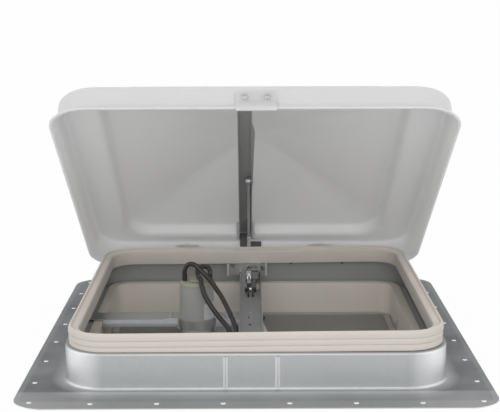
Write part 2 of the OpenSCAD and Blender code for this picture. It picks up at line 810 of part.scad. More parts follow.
module switch_rocker() {
    r = switch_l / 2 - switch_wall - 1.25 * gap;
    color([0.15, 0.15, 0.15]) {
        translate([switch_x, switch_y, rocker_z]) rotate([90, 0, 90])
            linear_extrude(switch_w - 2 * switch_wall - 2 * gap, center = true)
                polygon([[-r, 1.6], [r, 1.6], [r, -1], [r - 1, -2.5], [0, -1.6], [-r + 1, -4.6], [-r,
                    -4.6]]);
        rocker_pivot(pivot_r, pivot_in);
    }
}

// Lid

module skirt_profile() {
    top = lid_border_z + lid_t;
    bend = lip_z + lip_flare;
    round_r = 6;
    polygon(concat(
        [[lip_flare - lid_t, lip_z], [lip_flare, lip_z], [lip_flare, lip_z + 1.2], [0, bend + 1]],
        arc([-round_r, top - round_r], round_r, 0, 90),
        [[-20, top], [-20, lid_border_z], [-round_r, lid_border_z]],
        arc([-round_r, lid_border_z - round_r + lid_t], round_r - lid_t, 90, 0),
        [[-lid_t, bend + 1]]));
}

module crown_solid(in) {
    z0 = lid_border_z + lid_t - in;
    w = crown_x + lid_t - in;
    d = crown_y + lid_t - in;
    hull() {
        translate([0, lid_cy, lid_border_z - (in > 0 ? cut : 0)]) linear_extrude(slice)
            rounded(w, d, 24, $fn = 32);
        translate([0, lid_cy, z0 + step_h - slice]) linear_extrude(slice)
            rounded(w - draft, d - draft, 22, $fn = 32);
    }
    hull() {
        translate([0, lid_cy, z0 + step_h - slice]) linear_extrude(slice)
            rounded(w - draft, d - draft, 22, $fn = 32);
        translate([0, lid_cy, z0 + step_h + shoulder_rise - slice]) linear_extrude(slice)
            rounded(peak_half, peak_half, 20, $fn = 32);
        translate([0, lid_cy, z0 + step_h + crown_rise - slice]) linear_extrude(slice)
            rounded(14, 14, 10, $fn = 32);
    }
}

// Height of the crown's inside at a depth y along the middle
function ceiling_z(y) = crown_z + shoulder_rise * (crown_y - draft - abs(y - lid_cy))
    / (crown_y - draft - peak_half);

tunnel_left = lid_ch_left - lid_ch_play;
tunnel_right = lid_ch_right + lid_ch_play;

module lid_closed() {
    difference() {
        union() {
            translate([0, lid_cy, 0]) ring_sweep(skirt_x, skirt_y, lid_r - lip_flare) skirt_profile();
            translate([0, lid_cy, lid_border_z]) linear_extrude(lid_t)
                rounded(skirt_x - 15, skirt_y - 15, lid_r - lip_flare - 15);
            crown_solid(0);
            block([tunnel_left - lid_t, lid_cy + crown_y - 10, lid_border_z], [tunnel_right + lid_t,
                skirt_rear_in, crown_z + lid_t]);
        }
        crown_solid(lid_t);
        block([tunnel_left, lid_cy + crown_y - 12, lid_border_z - skirt_h / 2], [tunnel_right,
            skirt_rear_in - lid_t, crown_z]);
    }
    for (y = lid_ch_screws) translate([lid_ch_x, y, lid_ch_top]) cylinder(r = 4, h = ceiling_z(y)
        + lid_t / 2 - lid_ch_top);
}

module lid_shell() {
    color(white) lid_open() lid_closed();
}

module lid_channel() {
    low = lid_ch_top - flange_drop;
    deep = low - 3;
    x0 = lid_ch_left;
    x1 = lid_ch_right;
    pivot = lid_rear - arm_pin_s;
    widen = lid_ch_front + 40;
    color(dark_steel) lid_open() difference() {
        union() {
            block([x0, lid_ch_front, lid_ch_top - sheet_t], [x1, lid_ch_rear, lid_ch_top]);
            block([x0, lid_ch_front, low], [x0 + sheet_t, lid_ch_rear, lid_ch_top]);
            side_plate(x1 - sheet_t / 2, sheet_t) polygon([[lid_ch_front, lid_ch_top],
                [lid_ch_front, low + 4], [widen - 12, low + 4], [widen, deep], [pivot + 22, deep],
                [pivot + 32, low], [lid_ch_rear, low], [lid_ch_rear, lid_ch_top]]);
            translate([0, 0, deep]) linear_extrude(sheet_t) polygon([[x1 - sheet_t, widen], [x1, widen],
                [x1 + lid_lip, widen + 20], [x1, pivot + 22], [x1 - sheet_t, pivot + 22]]);
            block([x0 + 0.8, lid_ch_rear - sheet_t, foot_z], [arm_x - arm_t / 2 - arm_clear, lid_ch_rear,
                lid_ch_top]);
        }
        side_plate(x1, 4 * sheet_t) translate([pivot, (arm_top + arm_low) / 2])
            circle(pin_d / 2 - 0.5 + fit);
    }
}

module lid_channel_rivets() {
    color(zinc) lid_open() for (y = lid_ch_screws)
        translate([lid_ch_x, y, lid_ch_top - sheet_t - 1.2]) cylinder(r = 2.2, h = 1.2);
}

module pad_profile() {
    face = lid_cy - skirt_y - 0.05;
    lip = lid_cy - lid_d / 2 - 0.05;
    bend = lip_z + lip_flare;
    polygon([[face, bend + 16], [face - 2, bend + 15], [face - 2, bend + 4], [lip - 2, lip_z + 1.5],
        [lip - 2, lip_z - 3], [lip, lip_z - 3], [lip, lip_z + 1.25], [face, bend + 1.05]]);
}

module front_pad() {
    color(white) lid_open() side_plate(operator_x + 5.5, 40) pad_profile();
}

module pad_screws() {
    color(zinc) lid_open() for (k = [-1, 1])
        translate([operator_x + 5.5 + k * 11, lid_cy - skirt_y - 2.05, lip_z + lip_flare + 9])
            rotate([90, 0, 0])
            difference() {
                rotate_extrude() polygon(concat([[0, 0]], arc([0, -1.6], 3.9, asin(1.6 / 3.9), 90, 6)));
                for (a = [0, 90]) rotate([0, 0, a]) translate([-2.2, -0.4, 1.2]) cube([4.4, 0.8, 2]);
            }
}

module arm_outer() {
    front = lid_rear - arm_pin_s;
    mid = (arm_top + arm_low) / 2;
    inner = curb_half + 1.6;
    outer = skirt_rear_in - 0.8;
    bend = lip_z + lip_flare + 1.5;
    polygon([[front, arm_top], [front, arm_low], [inner, arm_low], [inner, hinge_z + 10], [hinge_y - 6,
        hinge_z],
        [hinge_y, hinge_z - hub_r + 0.5], [hinge_y + 2, hinge_z + 6], [outer, bend], [outer, bend + 12],
        [outer - lid_t, bend + 18], [outer - lid_t, arm_top]]);
    translate([front, mid]) circle((arm_top - arm_low) / 2);
    translate([hinge_y, hinge_z]) circle(hub_r);
}

// The slot in the arm's leg: its line, its two ends and its half width hold the peg's whole path
peg_path = [for (i = [0:18]) peg_at(open_angle * i / 18)];
slot_dir = unit(peg_at(open_angle) - peg_at(0));
slot_up = [slot_dir[1], -slot_dir[0]];
path_along = [for (p = peg_path) p * slot_dir];
path_up = [for (p = peg_path) p * slot_up];
slot_mid = (max(path_up) + min(path_up)) / 2;
slot_a = min(path_along) * slot_dir + slot_mid * slot_up;
slot_b = max(path_along) * slot_dir + slot_mid * slot_up;
slot_half = peg_r + (max(path_up) - min(path_up)) / 2 + gap;
leg_end_r = slot_half + 2.4;

module arm_leg() {
    half = 4.5;
    neck = [-18, 2.1];
    rim = (leg_end_r - 0.2) * slot_up;
    translate([hinge_y, hinge_z]) {
        polygon([[0, half], neck + [0, half], slot_a + rim, slot_b + rim, slot_b - rim, slot_a - rim,
            neck - [0, half],
            [0, -half]]);
        translate(slot_b) circle(leg_end_r);
    }
}

module peg_slot_shape() {
    side = (slot_half - 0.05) * slot_up;
    translate([hinge_y, hinge_z]) {
        polygon([slot_a + side, slot_b + side, slot_b - side, slot_a - side]);
        for (p = [slot_a, slot_b]) translate(p) circle(slot_half);
    }
}

// Turns the closed lid's side view to where the lid stands open
module side_open() {
    translate([hinge_y, hinge_z]) rotate(-open_angle) translate([-hinge_y, -hinge_z]) children();
}

// Round bead along the arm's lower edge
bead_r = 2.2;

module lift_arm() {
    side = arm_x + arm_t / 2;
    color(zinc) {
        side_plate(arm_x, arm_t) difference() {
            union() {
                side_open() arm_outer();
                arm_leg();
            }
            translate([hinge_y, hinge_z]) circle(pin_d / 2 + fit);
            peg_slot_shape();
            side_open() translate([lid_rear - arm_pin_s, (arm_top + arm_low) / 2])
                circle(pin_d / 2 - 0.5 + fit);
        }
        lid_open() {
            block([side - sheet_t, lid_ch_rear - 1.2, foot_z], [side + foot_len, lid_ch_rear,
                foot_z + foot_h]);
            translate([arm_x, curb_half - 2, arm_low + 1.6]) rotate([90, 0, 0])
                cylinder(r = bead_r, h = curb_half - 2 - (lid_rear - arm_pin_s) - 7);
        }
    }
}

module arm_pin() {
    head = 1.6;
    left = arm_x - arm_t / 2 - gap - head;
    color(zinc) lid_open() translate([left, lid_rear - arm_pin_s, (arm_top + arm_low) / 2])
        rotate([0, 90, 0]) {
        cylinder(r = pin_d / 2 - 0.5, h = lid_ch_right + head - left);
        for (z = [0, lid_ch_right - left]) translate([0, 0, z]) cylinder(r = pin_d / 2 + 1, h = head);
    }
}

module foot_side() {
    outer = skirt_rear_in;
    bend = lip_z + lip_flare;
    polygon([[outer - 7, lip_z + 24], [outer, lip_z + 24], [outer, bend + 1], [hinge_y + 1.6, lip_z + 0.5],
        [hinge_y, hinge_z], [hinge_y - 6, hinge_z - 2], [outer - 7, hinge_z + 8]]);
    translate([hinge_y, hinge_z]) circle(6.6);
}

module hinge_feet() {
    outer = skirt_rear_in;
    color(galvanised) lid_open() for (x = [-foot_x, foot_x]) difference() {
        union() {
            side_plate(x, 4) foot_side();
            block([x - 14, outer - 2, lip_z + 10], [x + 14, outer, lip_z + 24]);
        }
        side_plate(x, 6) translate([hinge_y, hinge_z]) circle(pin_d / 2 + fit);
    }
}

module feet_rivets() {
    outer = skirt_rear_in - 2;
    color(zinc) lid_open() for (x = [-foot_x, foot_x], k = [-1, 1])
        translate([x + k * 9, outer, lip_z + 17]) rotate([90, 0, 0]) cylinder(r = 2.2, h = 1.2);
}

// Traveller and crank

module traveller_nut() {
    color(dark_steel) difference() {
        translate([screw_x, screw_y, traveller_z]) cube([nut_w, nut_l, nut_h], center = true);
        translate([screw_x, screw_y, traveller_z - nut_h]) cylinder(r = screw_d / 2 + 2 * fit,
            h = 2 * nut_h);
    }
}

module traveller_pin() {
    face = screw_x - nut_w / 2;
    head = arm_x - arm_t / 2 - gap;
    color(zinc) translate([0, screw_y, traveller_z]) rotate([0, -90, 0]) {
        translate([0, 0, -face]) cylinder(r = peg_r, h = face - head);
        translate([0, 0, -head]) cylinder(r = peg_r + 1.2, h = 1.2);
    }
}

module crank_screw() {
    pitch = 2.5;
    low = cage_floor - gap;
    turns = floor((shelf_z - cage_floor - 4) / pitch);
    r = screw_d / 2;
    color(zinc) translate([screw_x, screw_y, 0]) {
        rotate_extrude() polygon(concat([[0, low], [r, low]],
            [for (i = [0:turns - 1]) each [[r, cage_floor + 3 + i * pitch], [r - 0.5,
                cage_floor + 3 + (i + 0.4) * pitch],
                [r, cage_floor + 3 + (i + 0.8) * pitch]]],
            [[r, shelf_z + sheet_t + 2.4], [r - 0.6, shelf_z + sheet_t + 3], [0, shelf_z + sheet_t + 3]]));
        translate([0, 0, low - 2.4]) cylinder(r = r + 2.4, h = 2.4);
        translate([0, 0, -garnish_depth + 5]) cylinder(r = 3, h = garnish_depth - 5 + low - 2);
    }
}

knob_low = -garnish_depth + 4;

module crank_knob() {
    knob_h = garnish_depth - ledge_depth - ledge_t - 7;
    color(cream) translate([screw_x, screw_y, knob_low]) difference() {
        rotate_extrude() polygon([[0, 0], [knob_r - 2, 0], [knob_r, 2], [knob_r - 0.6, knob_h - 4],
            [knob_r - 2.6, knob_h - 2], [6, knob_h - 2], [6, knob_h], [0, knob_h]]);
        for (k = [0:11]) rotate([0, 0, 30 * k]) translate([knob_r + 1.6, 0, -cut])
            cylinder(r = 3, h = knob_h + 2 * cut);
        translate([0, 0, 1]) cylinder(r = 3 + fit, h = knob_h);
        translate([0, 0, -cut]) cylinder(r = 1.6, h = 4);
    }
}

module knob_screw() {
    color(zinc) translate([screw_x, screw_y, knob_low]) {
        translate([0, 0, -1.8]) cylinder(r = 3, h = 1.8);
        cylinder(r = 1.5, h = 0.95);
    }
}

base_pan();
rim_seal();
hinge_lugs();
lug_rivets();
hinge_pin();
operator_bracket();
bracket_screws();
operator_channel();
channel_rivets();
channel_bumpers();
screw_cage();
screw_bushings();
garnish();
garnish_rail();
screen_frame();
screen_mesh();
screen_clips();
screen_grommet();
motor_strap_left();
motor_strap_right();
strap_rivets();
motor_clamp();
clamp_screws();
motor_can();
motor_cap();
motor_terminals();
wire_a();
wire_b();
switch_body();
switch_terminals();
switch_rocker();
lid_shell();
lid_channel();
lid_channel_rivets();
front_pad();
pad_screws();
lift_arm();
arm_pin();
hinge_feet();
feet_rivets();
traveller_nut();
traveller_pin();
crank_screw();
crank_knob();
knob_screw();
fan_shaft();
fan_rotor();
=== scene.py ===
"""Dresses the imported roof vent: camera, wires, fine screen, small fittings, finishes and a plain studio."""

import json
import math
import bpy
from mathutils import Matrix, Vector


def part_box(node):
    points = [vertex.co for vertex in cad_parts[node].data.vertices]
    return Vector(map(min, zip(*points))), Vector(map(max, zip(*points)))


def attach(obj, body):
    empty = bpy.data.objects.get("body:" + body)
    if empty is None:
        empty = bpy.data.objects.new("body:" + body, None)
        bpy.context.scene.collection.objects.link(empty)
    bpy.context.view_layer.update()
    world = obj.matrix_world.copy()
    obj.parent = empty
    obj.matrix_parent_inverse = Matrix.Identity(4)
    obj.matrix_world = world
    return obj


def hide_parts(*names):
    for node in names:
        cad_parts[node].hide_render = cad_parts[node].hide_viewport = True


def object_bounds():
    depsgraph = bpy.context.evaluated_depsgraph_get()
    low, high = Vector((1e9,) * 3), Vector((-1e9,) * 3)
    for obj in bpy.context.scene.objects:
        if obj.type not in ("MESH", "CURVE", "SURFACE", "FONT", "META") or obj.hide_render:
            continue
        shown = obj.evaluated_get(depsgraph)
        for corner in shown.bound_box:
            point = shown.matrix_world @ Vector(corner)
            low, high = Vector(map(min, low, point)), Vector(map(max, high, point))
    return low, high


bl_info = {
    "name": "Caravan Roof Vent",
    "version": (1, 0, 0),
    "blender": (4, 5, 0),
    "location": "View3D > Sidebar > Roof Vent",
    "description": "Builds the looks of a caravan roof vent on its packed solids",
    "category": "Object",
}

import bpy
from mathutils import Matrix, Vector

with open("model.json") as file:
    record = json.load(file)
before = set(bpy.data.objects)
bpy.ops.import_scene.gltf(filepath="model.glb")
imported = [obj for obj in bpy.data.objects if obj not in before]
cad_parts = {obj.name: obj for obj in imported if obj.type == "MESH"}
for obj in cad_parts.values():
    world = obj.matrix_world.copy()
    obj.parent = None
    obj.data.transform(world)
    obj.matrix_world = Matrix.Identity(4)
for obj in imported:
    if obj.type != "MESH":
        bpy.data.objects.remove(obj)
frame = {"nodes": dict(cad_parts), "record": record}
CAD_LOW, CAD_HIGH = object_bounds()

IMAGE_WIDTH = 500
SENSOR_WIDTH = 36.0
FOCAL_PIXELS = 1183.8
CAMERA_PLACE = Vector((-0.00765, -1.2692, 0.3921))
# Turns of the camera in radians
CAMERA_PITCH = 0.1928
CAMERA_YAW = 0.002
CAMERA_ROLL = 0.0029
CAMERA_FAR = 200.0

WIRE_DIAMETER = 0.0054
# Lift of the drawn routes at the motor, their drop from there to the switch's tabs, and how many spans keep
# to the motor and to the switch
MOTOR_LIFT = 0.003
SWITCH_DROP = 0.005
MOTOR_SPANS = 3
SWITCH_SPANS = 4
# Routes of the two motor wires in millimetres: the solids' routes, with rounder loops over the motor's cap
ROUTE_A = (
    (-78, 10, 60), (-77.8, 9.9, 67), (-74.4, 9.2, 73), (-67.8, 7.6, 74), (-62.6, 6, 70.6),
    (-58.5, 4, 67), (-53, 1.5, 62.8), (-47.4, -2, 57.2), (-42, -8.5, 51), (-37, -16.5, 46),
    (-32.4, -25, 40), (-27.8, -33, 33), (-23.8, -40, 26.5), (-21, -48, 20), (-20.6, -60, 14.5),
    (-20.8, -72, 11.5), (-21, -85, 10), (-21, -98, 9.5), (-21, -111, 9), (-21, -124, 8.5),
    (-21, -136, 7), (-21, -146, 3.5), (-21, -152.2, -0.6), (-21, -155, -9),
)
ROUTE_B = (
    (-50, 14, 60), (-50.4, 17, 65.6), (-56, 22.4, 68), (-62.6, 18.6, 67), (-63.8, 10.6, 64.4),
    (-62.2, 3, 61.9), (-60.2, -4, 61.5), (-58.6, -10.4, 57), (-54.4, -17, 45.8), (-48.6, -21.5, 37),
    (-42.8, -25.5, 30), (-37, -30.5, 24.4), (-31.8, -36.5, 20.2), (-28.6, -44, 17.4), (-27.6, -54, 15.8),
    (-27.6, -66, 14.4), (-28, -80, 13), (-29, -95, 11.5), (-29, -109, 10.5), (-29, -122, 10),
    (-29, -134, 8.5), (-29, -144.5, 5), (-29, -151.8, 0), (-29, -155, -9),
)

NODE_SLOT = {part["node"]: part["material_slot"] for part in frame["record"]["subparts"]}
# Solids with a finish of their own within their slot
OWN_FINISH = {
    "base_pan": "roof_pan", "lid_channel": "lid_channel", "lift_arm": "lift_arm",
    "operator_bracket": "bracket", "garnish_rail": "rail", "bracket_screws": "dull",
    "traveller_nut": "dull", "crank_screw": "dull", "screw_bushings": "dull",
    "hinge_feet": "white_plastic", "feet_rivets": "white_plastic",
}


def colour_setting(name, description, default):
    """A colour of the settings."""
    return bpy.props.FloatVectorProperty(
        name=name, description=description, subtype="COLOR", default=default, min=0, max=1)


def length_setting(name, description, default, low, high):
    """A length of the settings, in metres."""
    return bpy.props.FloatProperty(
        name=name, description=description, unit="LENGTH", default=default, min=low, max=high)


class VentColours(bpy.types.PropertyGroup):
    """Colours of the vent's finishes."""

    lid: colour_setting("Lid", "White moulded lid", (0.72, 0.72, 0.72))
    seal: colour_setting("Seal", "Cream rubber seal", (0.67, 0.615, 0.56))
    garnish: colour_setting("Garnish", "Cream inside trim", (0.8, 0.745, 0.67))
    zinc: colour_setting("Galvanised sheet", "Galvanised steel", (0.5, 0.515, 0.52))
    bright: colour_setting("Bright zinc", "Plated fittings", (0.55, 0.56, 0.57))
    dark: colour_setting("Dark steel", "Lid channel and small dark fittings", (0.5, 0.5, 0.5))
    wire: colour_setting("Wire sleeve", "Sleeve of the motor wires", (0.035, 0.033, 0.032))
    motor: colour_setting("Motor", "Painted motor can", (0.4, 0.405, 0.4))
    cap: colour_setting("Motor cap", "Moulded motor cap", (0.38, 0.375, 0.3))


class VentSizes(bpy.types.PropertyGroup):
    """Sizes of what is modelled here."""

    mesh_pitch: length_setting("Screen pitch", "Distance between the screen's strands", 0.0016, 0.001, 0.004)
    strand: length_setting("Screen strand", "Thickness of the screen's strands", 0.0003, 0.0001, 0.0008)
    floor_size: length_setting("Floor", "Width of the studio floor", 60.0, 4, 100)


def colours():
    """The colours in use."""
    return bpy.context.scene.vent_colours


def sizes():
    """The sizes in use."""
    return bpy.context.scene.vent_sizes


def deselect_all():
    """Leaves nothing selected, so that the next operator acts on its own piece alone."""
    if bpy.context.object and bpy.context.object.mode != "OBJECT":
        bpy.ops.object.mode_set(mode="OBJECT")
    bpy.ops.object.select_all(action="DESELECT")


def settle(piece, name, body, material):
    """Names a finished piece, puts its place into its mesh, and gives it its finish, body and slot."""
    deselect_all()
    piece.select_set(True)
    bpy.context.view_layer.objects.active = piece
    bpy.ops.object.transform_apply(location=True, rotation=True, scale=True)
    piece.name = name
    piece.data.name = name
    piece.data.materials.clear()
    piece.data.materials.append(material)
    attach(piece, body)
    return piece


def apply_modifiers(piece):
    """Applies a piece's modifiers in their order."""
    deselect_all()
    piece.select_set(True)
    bpy.context.view_layer.objects.active = piece
    for name in [m.name for m in piece.modifiers]:
        bpy.ops.object.modifier_apply(modifier=name)


def smooth(piece, degrees=35.0):
    """Shades a piece smooth across edges flatter than the angle."""
    deselect_all()
    piece.select_set(True)
    bpy.context.view_layer.objects.active = piece
    bpy.ops.object.shade_smooth_by_angle(angle=math.radians(degrees))


def join(pieces):
    """Joins pieces into the first one."""
    deselect_all()
    for piece in pieces:
        piece.select_set(True)
    bpy.context.view_layer.objects.active = pieces[0]
    bpy.ops.object.join()
    return pieces[0]


def node(tree, kind, **values):
    """Adds a node and sets its properties."""
    new = tree.nodes.new(kind)
    for key, value in values.items():
        setattr(new, key, value)
    return new


def link(tree, source, target):
    """Joins two sockets."""
    tree.links.new(source, target)


def math_node(tree, operation, a, b=None):
    """A math node on sockets or numbers. Returns its output."""
    new = node(tree, "ShaderNodeMath", operation=operation)
    for place, value in enumerate((a, b)):
        if value is None:
            continue
        if isinstance(value, (int, float)):
            new.inputs[place].default_value = value
        else:
            link(tree, value, new.inputs[place])
    return new.outputs[0]


def ramp(tree, value, low, high, to_low=0.0, to_high=1.0):
    """A clamped map of a value from one range to another. Returns its output."""
    new = node(tree, "ShaderNodeMapRange")
    new.inputs["From Min"].default_value = low
    new.inputs["From Max"].default_value = high
    new.inputs["To Min"].default_value = to_low
    new.inputs["To Max"].default_value = to_high
    link(tree, value, new.inputs["Value"])
    return new.outputs["Result"]


def mix_colour(tree, factor, a, b):
    """A colour mix of two sockets by a factor socket. Returns its output."""
    new = node(tree, "ShaderNodeMix", data_type="RGBA", blend_type="MIX")
    link(tree, factor, new.inputs["Factor"])
    link(tree, a, new.inputs["A"])
    link(tree, b, new.inputs["B"])
    return new.outputs["Result"]


def start_group(name, inputs, outputs):
    """A new node group with its sockets. Returns the group, its input node and its output node."""
    group = bpy.data.node_groups.new(name, "ShaderNodeTree")
    for label, kind, default in inputs:
        socket = group.interface.new_socket(name=label, in_out="INPUT", socket_type=kind)
        socket.default_value = default
    for label, kind in outputs:
        group.interface.new_socket(name=label, in_out="OUTPUT", socket_type=kind)
    return group, node(group, "NodeGroupInput"), node(group, "NodeGroupOutput")


def object_noise(tree, scale, detail=3.0):
    """Noise on object coordinates with its scale from a socket or a number. Returns its value."""
    noise = node(tree, "ShaderNodeTexNoise")
    noise.inputs["Detail"].default_value = detail
    link(tree, node(tree, "ShaderNodeTexCoord").outputs["Object"], noise.inputs["Vector"])
    if isinstance(scale, (int, float)):
        noise.inputs["Scale"].default_value = scale
    else:
        link(tree, scale, noise.inputs["Scale"])
    return noise.outputs["Fac"]


# Default of the shared effects' colours, and the share of the single crystals in the spangle's unevenness
MID_GREY = (0.5, 0.5, 0.5, 1.0)
CELL_SHARE = 0.6


def grain_group():
    """Fine and broad unevenness of a moulded or rolled surface."""
    group, into, out = start_group(
        "Surface grain",
        (("Fine scale", "NodeSocketFloat", 900.0), ("Broad scale", "NodeSocketFloat", 12.0)),
        (("Fine", "NodeSocketFloat"), ("Broad", "NodeSocketFloat")))
    link(group, object_noise(group, into.outputs["Fine scale"]), out.inputs["Fine"])
    link(group, object_noise(group, into.outputs["Broad scale"], detail=4.0), out.inputs["Broad"])
    return group


def dust_and_light_group():
    """Dust that settles on upward faces and grey handling marks in patches; on the seal and the base's flange
    the settled colour is painted light and painted shade instead of dust.
    """
    group, into, out = start_group(
        "Dust, handling and painted light",
        (("Color", "NodeSocketColor", MID_GREY), ("Dust", "NodeSocketColor", MID_GREY),
         ("Settled", "NodeSocketFloat", 0.2), ("Patches", "NodeSocketFloat", 0.15),
         ("Scale", "NodeSocketFloat", 22.0)),
        (("Color", "NodeSocketColor"),))
    split = node(group, "ShaderNodeSeparateXYZ")
    link(group, node(group, "ShaderNodeNewGeometry").outputs["Normal"], split.inputs[0])
    upward = ramp(group, split.outputs["Z"], 0.7, 0.98)
    cloud = object_noise(group, into.outputs["Scale"], detail=5.0)
    uneven = math_node(group, "MULTIPLY", upward, ramp(group, cloud, 0.35, 0.7, 0.6, 1.0))
    settled = math_node(group, "MULTIPLY", uneven, into.outputs["Settled"])
    patches = math_node(group, "MULTIPLY", ramp(group, cloud, 0.52, 0.72), into.outputs["Patches"])
    mask = math_node(group, "MINIMUM", math_node(group, "ADD", settled, patches), 1.0)
    link(group, mix_colour(group, mask, into.outputs["Color"], into.outputs["Dust"]), out.inputs["Color"])
    return group


def spangle_group():
    """Crystals of a galvanised coat: cells of slightly different grey and gloss."""
    group, into, out = start_group(
        "Zinc spangle",
        (("Color", "NodeSocketColor", MID_GREY), ("Scale", "NodeSocketFloat", 120.0),
         ("Contrast", "NodeSocketFloat", 0.2), ("Roughness", "NodeSocketFloat", 0.4)),
        (("Color", "NodeSocketColor"), ("Roughness", "NodeSocketFloat")))
    cells = node(group, "ShaderNodeTexVoronoi", feature="F1")
    link(group, node(group, "ShaderNodeTexCoord").outputs["Object"], cells.inputs["Vector"])
    link(group, into.outputs["Scale"], cells.inputs["Scale"])
    grey = node(group, "ShaderNodeRGBToBW")
    link(group, cells.outputs["Color"], grey.inputs["Color"])
    broad = object_noise(group, scale=9.0, detail=4.0)
    value = math_node(group, "ADD", math_node(group, "MULTIPLY", grey.outputs["Val"], CELL_SHARE),
                      math_node(group, "MULTIPLY", broad, 1.0 - CELL_SHARE))
    swing = math_node(group, "MULTIPLY", math_node(group, "SUBTRACT", value, 0.5), into.outputs["Contrast"])
    factor = math_node(group, "ADD", swing, 1.0)
    scaled = node(group, "ShaderNodeVectorMath", operation="SCALE")
    link(group, into.outputs["Color"], scaled.inputs[0])
    link(group, factor, scaled.inputs["Scale"])
    link(group, scaled.outputs["Vector"], out.inputs["Color"])
    rough = math_node(group, "ADD", into.outputs["Roughness"], math_node(group, "MULTIPLY", swing, 0.35))
    link(group, rough, out.inputs["Roughness"])
    return group


def band_group():
    """One where an object coordinate is past a limit."""
    group, into, out = start_group(
        "Band",
        (("Axis", "NodeSocketVector", (1.0, 0.0, 0.0)), ("Limit", "NodeSocketFloat", 0.0),
         ("Blend", "NodeSocketFloat", 0.0004)),
        (("Mask", "NodeSocketFloat"),))
    along = node(group, "ShaderNodeVectorMath", operation="DOT_PRODUCT")
    link(group, node(group, "ShaderNodeTexCoord").outputs["Object"], along.inputs[0])
    link(group, into.outputs["Axis"], along.inputs[1])
    past = math_node(group, "SUBTRACT", along.outputs["Value"], into.outputs["Limit"])
    share = math_node(group, "DIVIDE", past, into.outputs["Blend"])
    link(group, ramp(group, share, 0.0, 1.0), out.inputs["Mask"])
    return group


def outline_group():
    """One where the distance out from a rectangle with round corners about the origin is past a limit."""
    group, into, out = start_group(
        "Outline",
        (("Half", "NodeSocketVector", (1.0, 1.0, 0.0)), ("Corner", "NodeSocketFloat", 0.02),
         ("Limit", "NodeSocketFloat", 0.0), ("Blend", "NodeSocketFloat", 0.002)),
        (("Mask", "NodeSocketFloat"),))
    flat = node(group, "ShaderNodeVectorMath", operation="MULTIPLY")
    link(group, node(group, "ShaderNodeTexCoord").outputs["Object"], flat.inputs[0])
    flat.inputs[1].default_value = (1.0, 1.0, 0.0)
    far = node(group, "ShaderNodeVectorMath", operation="ABSOLUTE")
    link(group, flat.outputs["Vector"], far.inputs[0])
    core = node(group, "ShaderNodeVectorMath", operation="SUBTRACT")
    link(group, far.outputs["Vector"], core.inputs[0])
    link(group, into.outputs["Half"], core.inputs[1])
    past = node(group, "ShaderNodeVectorMath", operation="MAXIMUM")
    link(group, core.outputs["Vector"], past.inputs[0])
    past.inputs[1].default_value = (0.0, 0.0, 0.0)
    length = node(group, "ShaderNodeVectorMath", operation="LENGTH")
    link(group, past.outputs["Vector"], length.inputs[0])
    distance = math_node(group, "SUBTRACT", length.outputs["Value"], into.outputs["Corner"])
    over = math_node(group, "SUBTRACT", distance, into.outputs["Limit"])
    share = math_node(group, "DIVIDE", over, into.outputs["Blend"])
    link(group, ramp(group, share, 0.0, 1.0), out.inputs["Mask"])
    return group


def bend_group():
    """One on upright faces that turn between two walls, such as round corners and ribs, where the base's
    sheet gets painted highlights.
    """
    group, into, out = start_group(
        "Bend",
        (("Low", "NodeSocketFloat", 0.1), ("High", "NodeSocketFloat", 0.9)),
        (("Mask", "NodeSocketFloat"),))
    split = node(group, "ShaderNodeSeparateXYZ")
    link(group, node(group, "ShaderNodeNewGeometry").outputs["Normal"], split.inputs[0])
    both = math_node(group, "MULTIPLY", split.outputs["X"], split.outputs["Y"])
    turned = math_node(group, "MULTIPLY", math_node(group, "ABSOLUTE", both), 2.0)
    share = math_node(group, "SUBTRACT", turned, into.outputs["Low"])
    span = math_node(group, "SUBTRACT", into.outputs["High"], into.outputs["Low"])
    link(group, ramp(group, math_node(group, "DIVIDE", share, span), 0.0, 1.0), out.inputs["Mask"])
    return group


GROUPS = {}


def shared_groups():
    """Builds the shared effects once."""
    if not GROUPS:
        GROUPS["grain"] = grain_group()
        GROUPS["dust_and_light"] = dust_and_light_group()
        GROUPS["spangle"] = spangle_group()
        GROUPS["band"] = band_group()
        GROUPS["outline"] = outline_group()
        GROUPS["bend"] = bend_group()
    return GROUPS


def new_material(name):
    """An empty material with a Principled shader. Returns the material, its tree and the shader."""
    material = bpy.data.materials.new(name)
    material.use_nodes = True
    tree = material.node_tree
    tree.nodes.clear()
    shader = node(tree, "ShaderNodeBsdfPrincipled")
    output = node(tree, "ShaderNodeOutputMaterial")
    link(tree, shader.outputs["BSDF"], output.inputs["Surface"])
    return material, tree, shader


def place_group(tree, key, **values):
    """Places a shared effect in a material with its own values."""
    new = node(tree, "ShaderNodeGroup")
    new.node_tree = shared_groups()[key]
    for label, value in values.items():
        new.inputs[label.replace("_", " ")].default_value = value
    return new


def bump(tree, shader, height, strength, distance):
    """Feeds a height to the shader's normal."""
    new = node(tree, "ShaderNodeBump")
    new.inputs["Strength"].default_value = strength
    new.inputs["Distance"].default_value = distance
    link(tree, height, new.inputs["Height"])
    link(tree, new.outputs["Normal"], shader.inputs["Normal"])


def solid(colour):
    """A colour with full alpha."""
    return (colour[0], colour[1], colour[2], 1.0)


def plain_colour(tree, colour):
    """A colour that is the same all over. Returns its output."""
    new = node(tree, "ShaderNodeRGB")
    new.outputs[0].default_value = solid(colour)
    return new.outputs[0]


# Dust on the small pieces, and the sides towards which painted light and shade change a finish
DUST = (0.36, 0.34, 0.31)
RIGHT = (1.0, 0.0, 0.0)
LEFT = (-1.0, 0.0, 0.0)
FRONT = (0.0, -1.0, 0.0)
DOWN = (0.0, 0.0, -1.0)
# Scales of the sheet's fine and broad unevenness, and the depth of the broad one in metres
SHEET_FINE = 700.0
SHEET_BROAD = 20.0
SHEET_DEPTH = 0.004


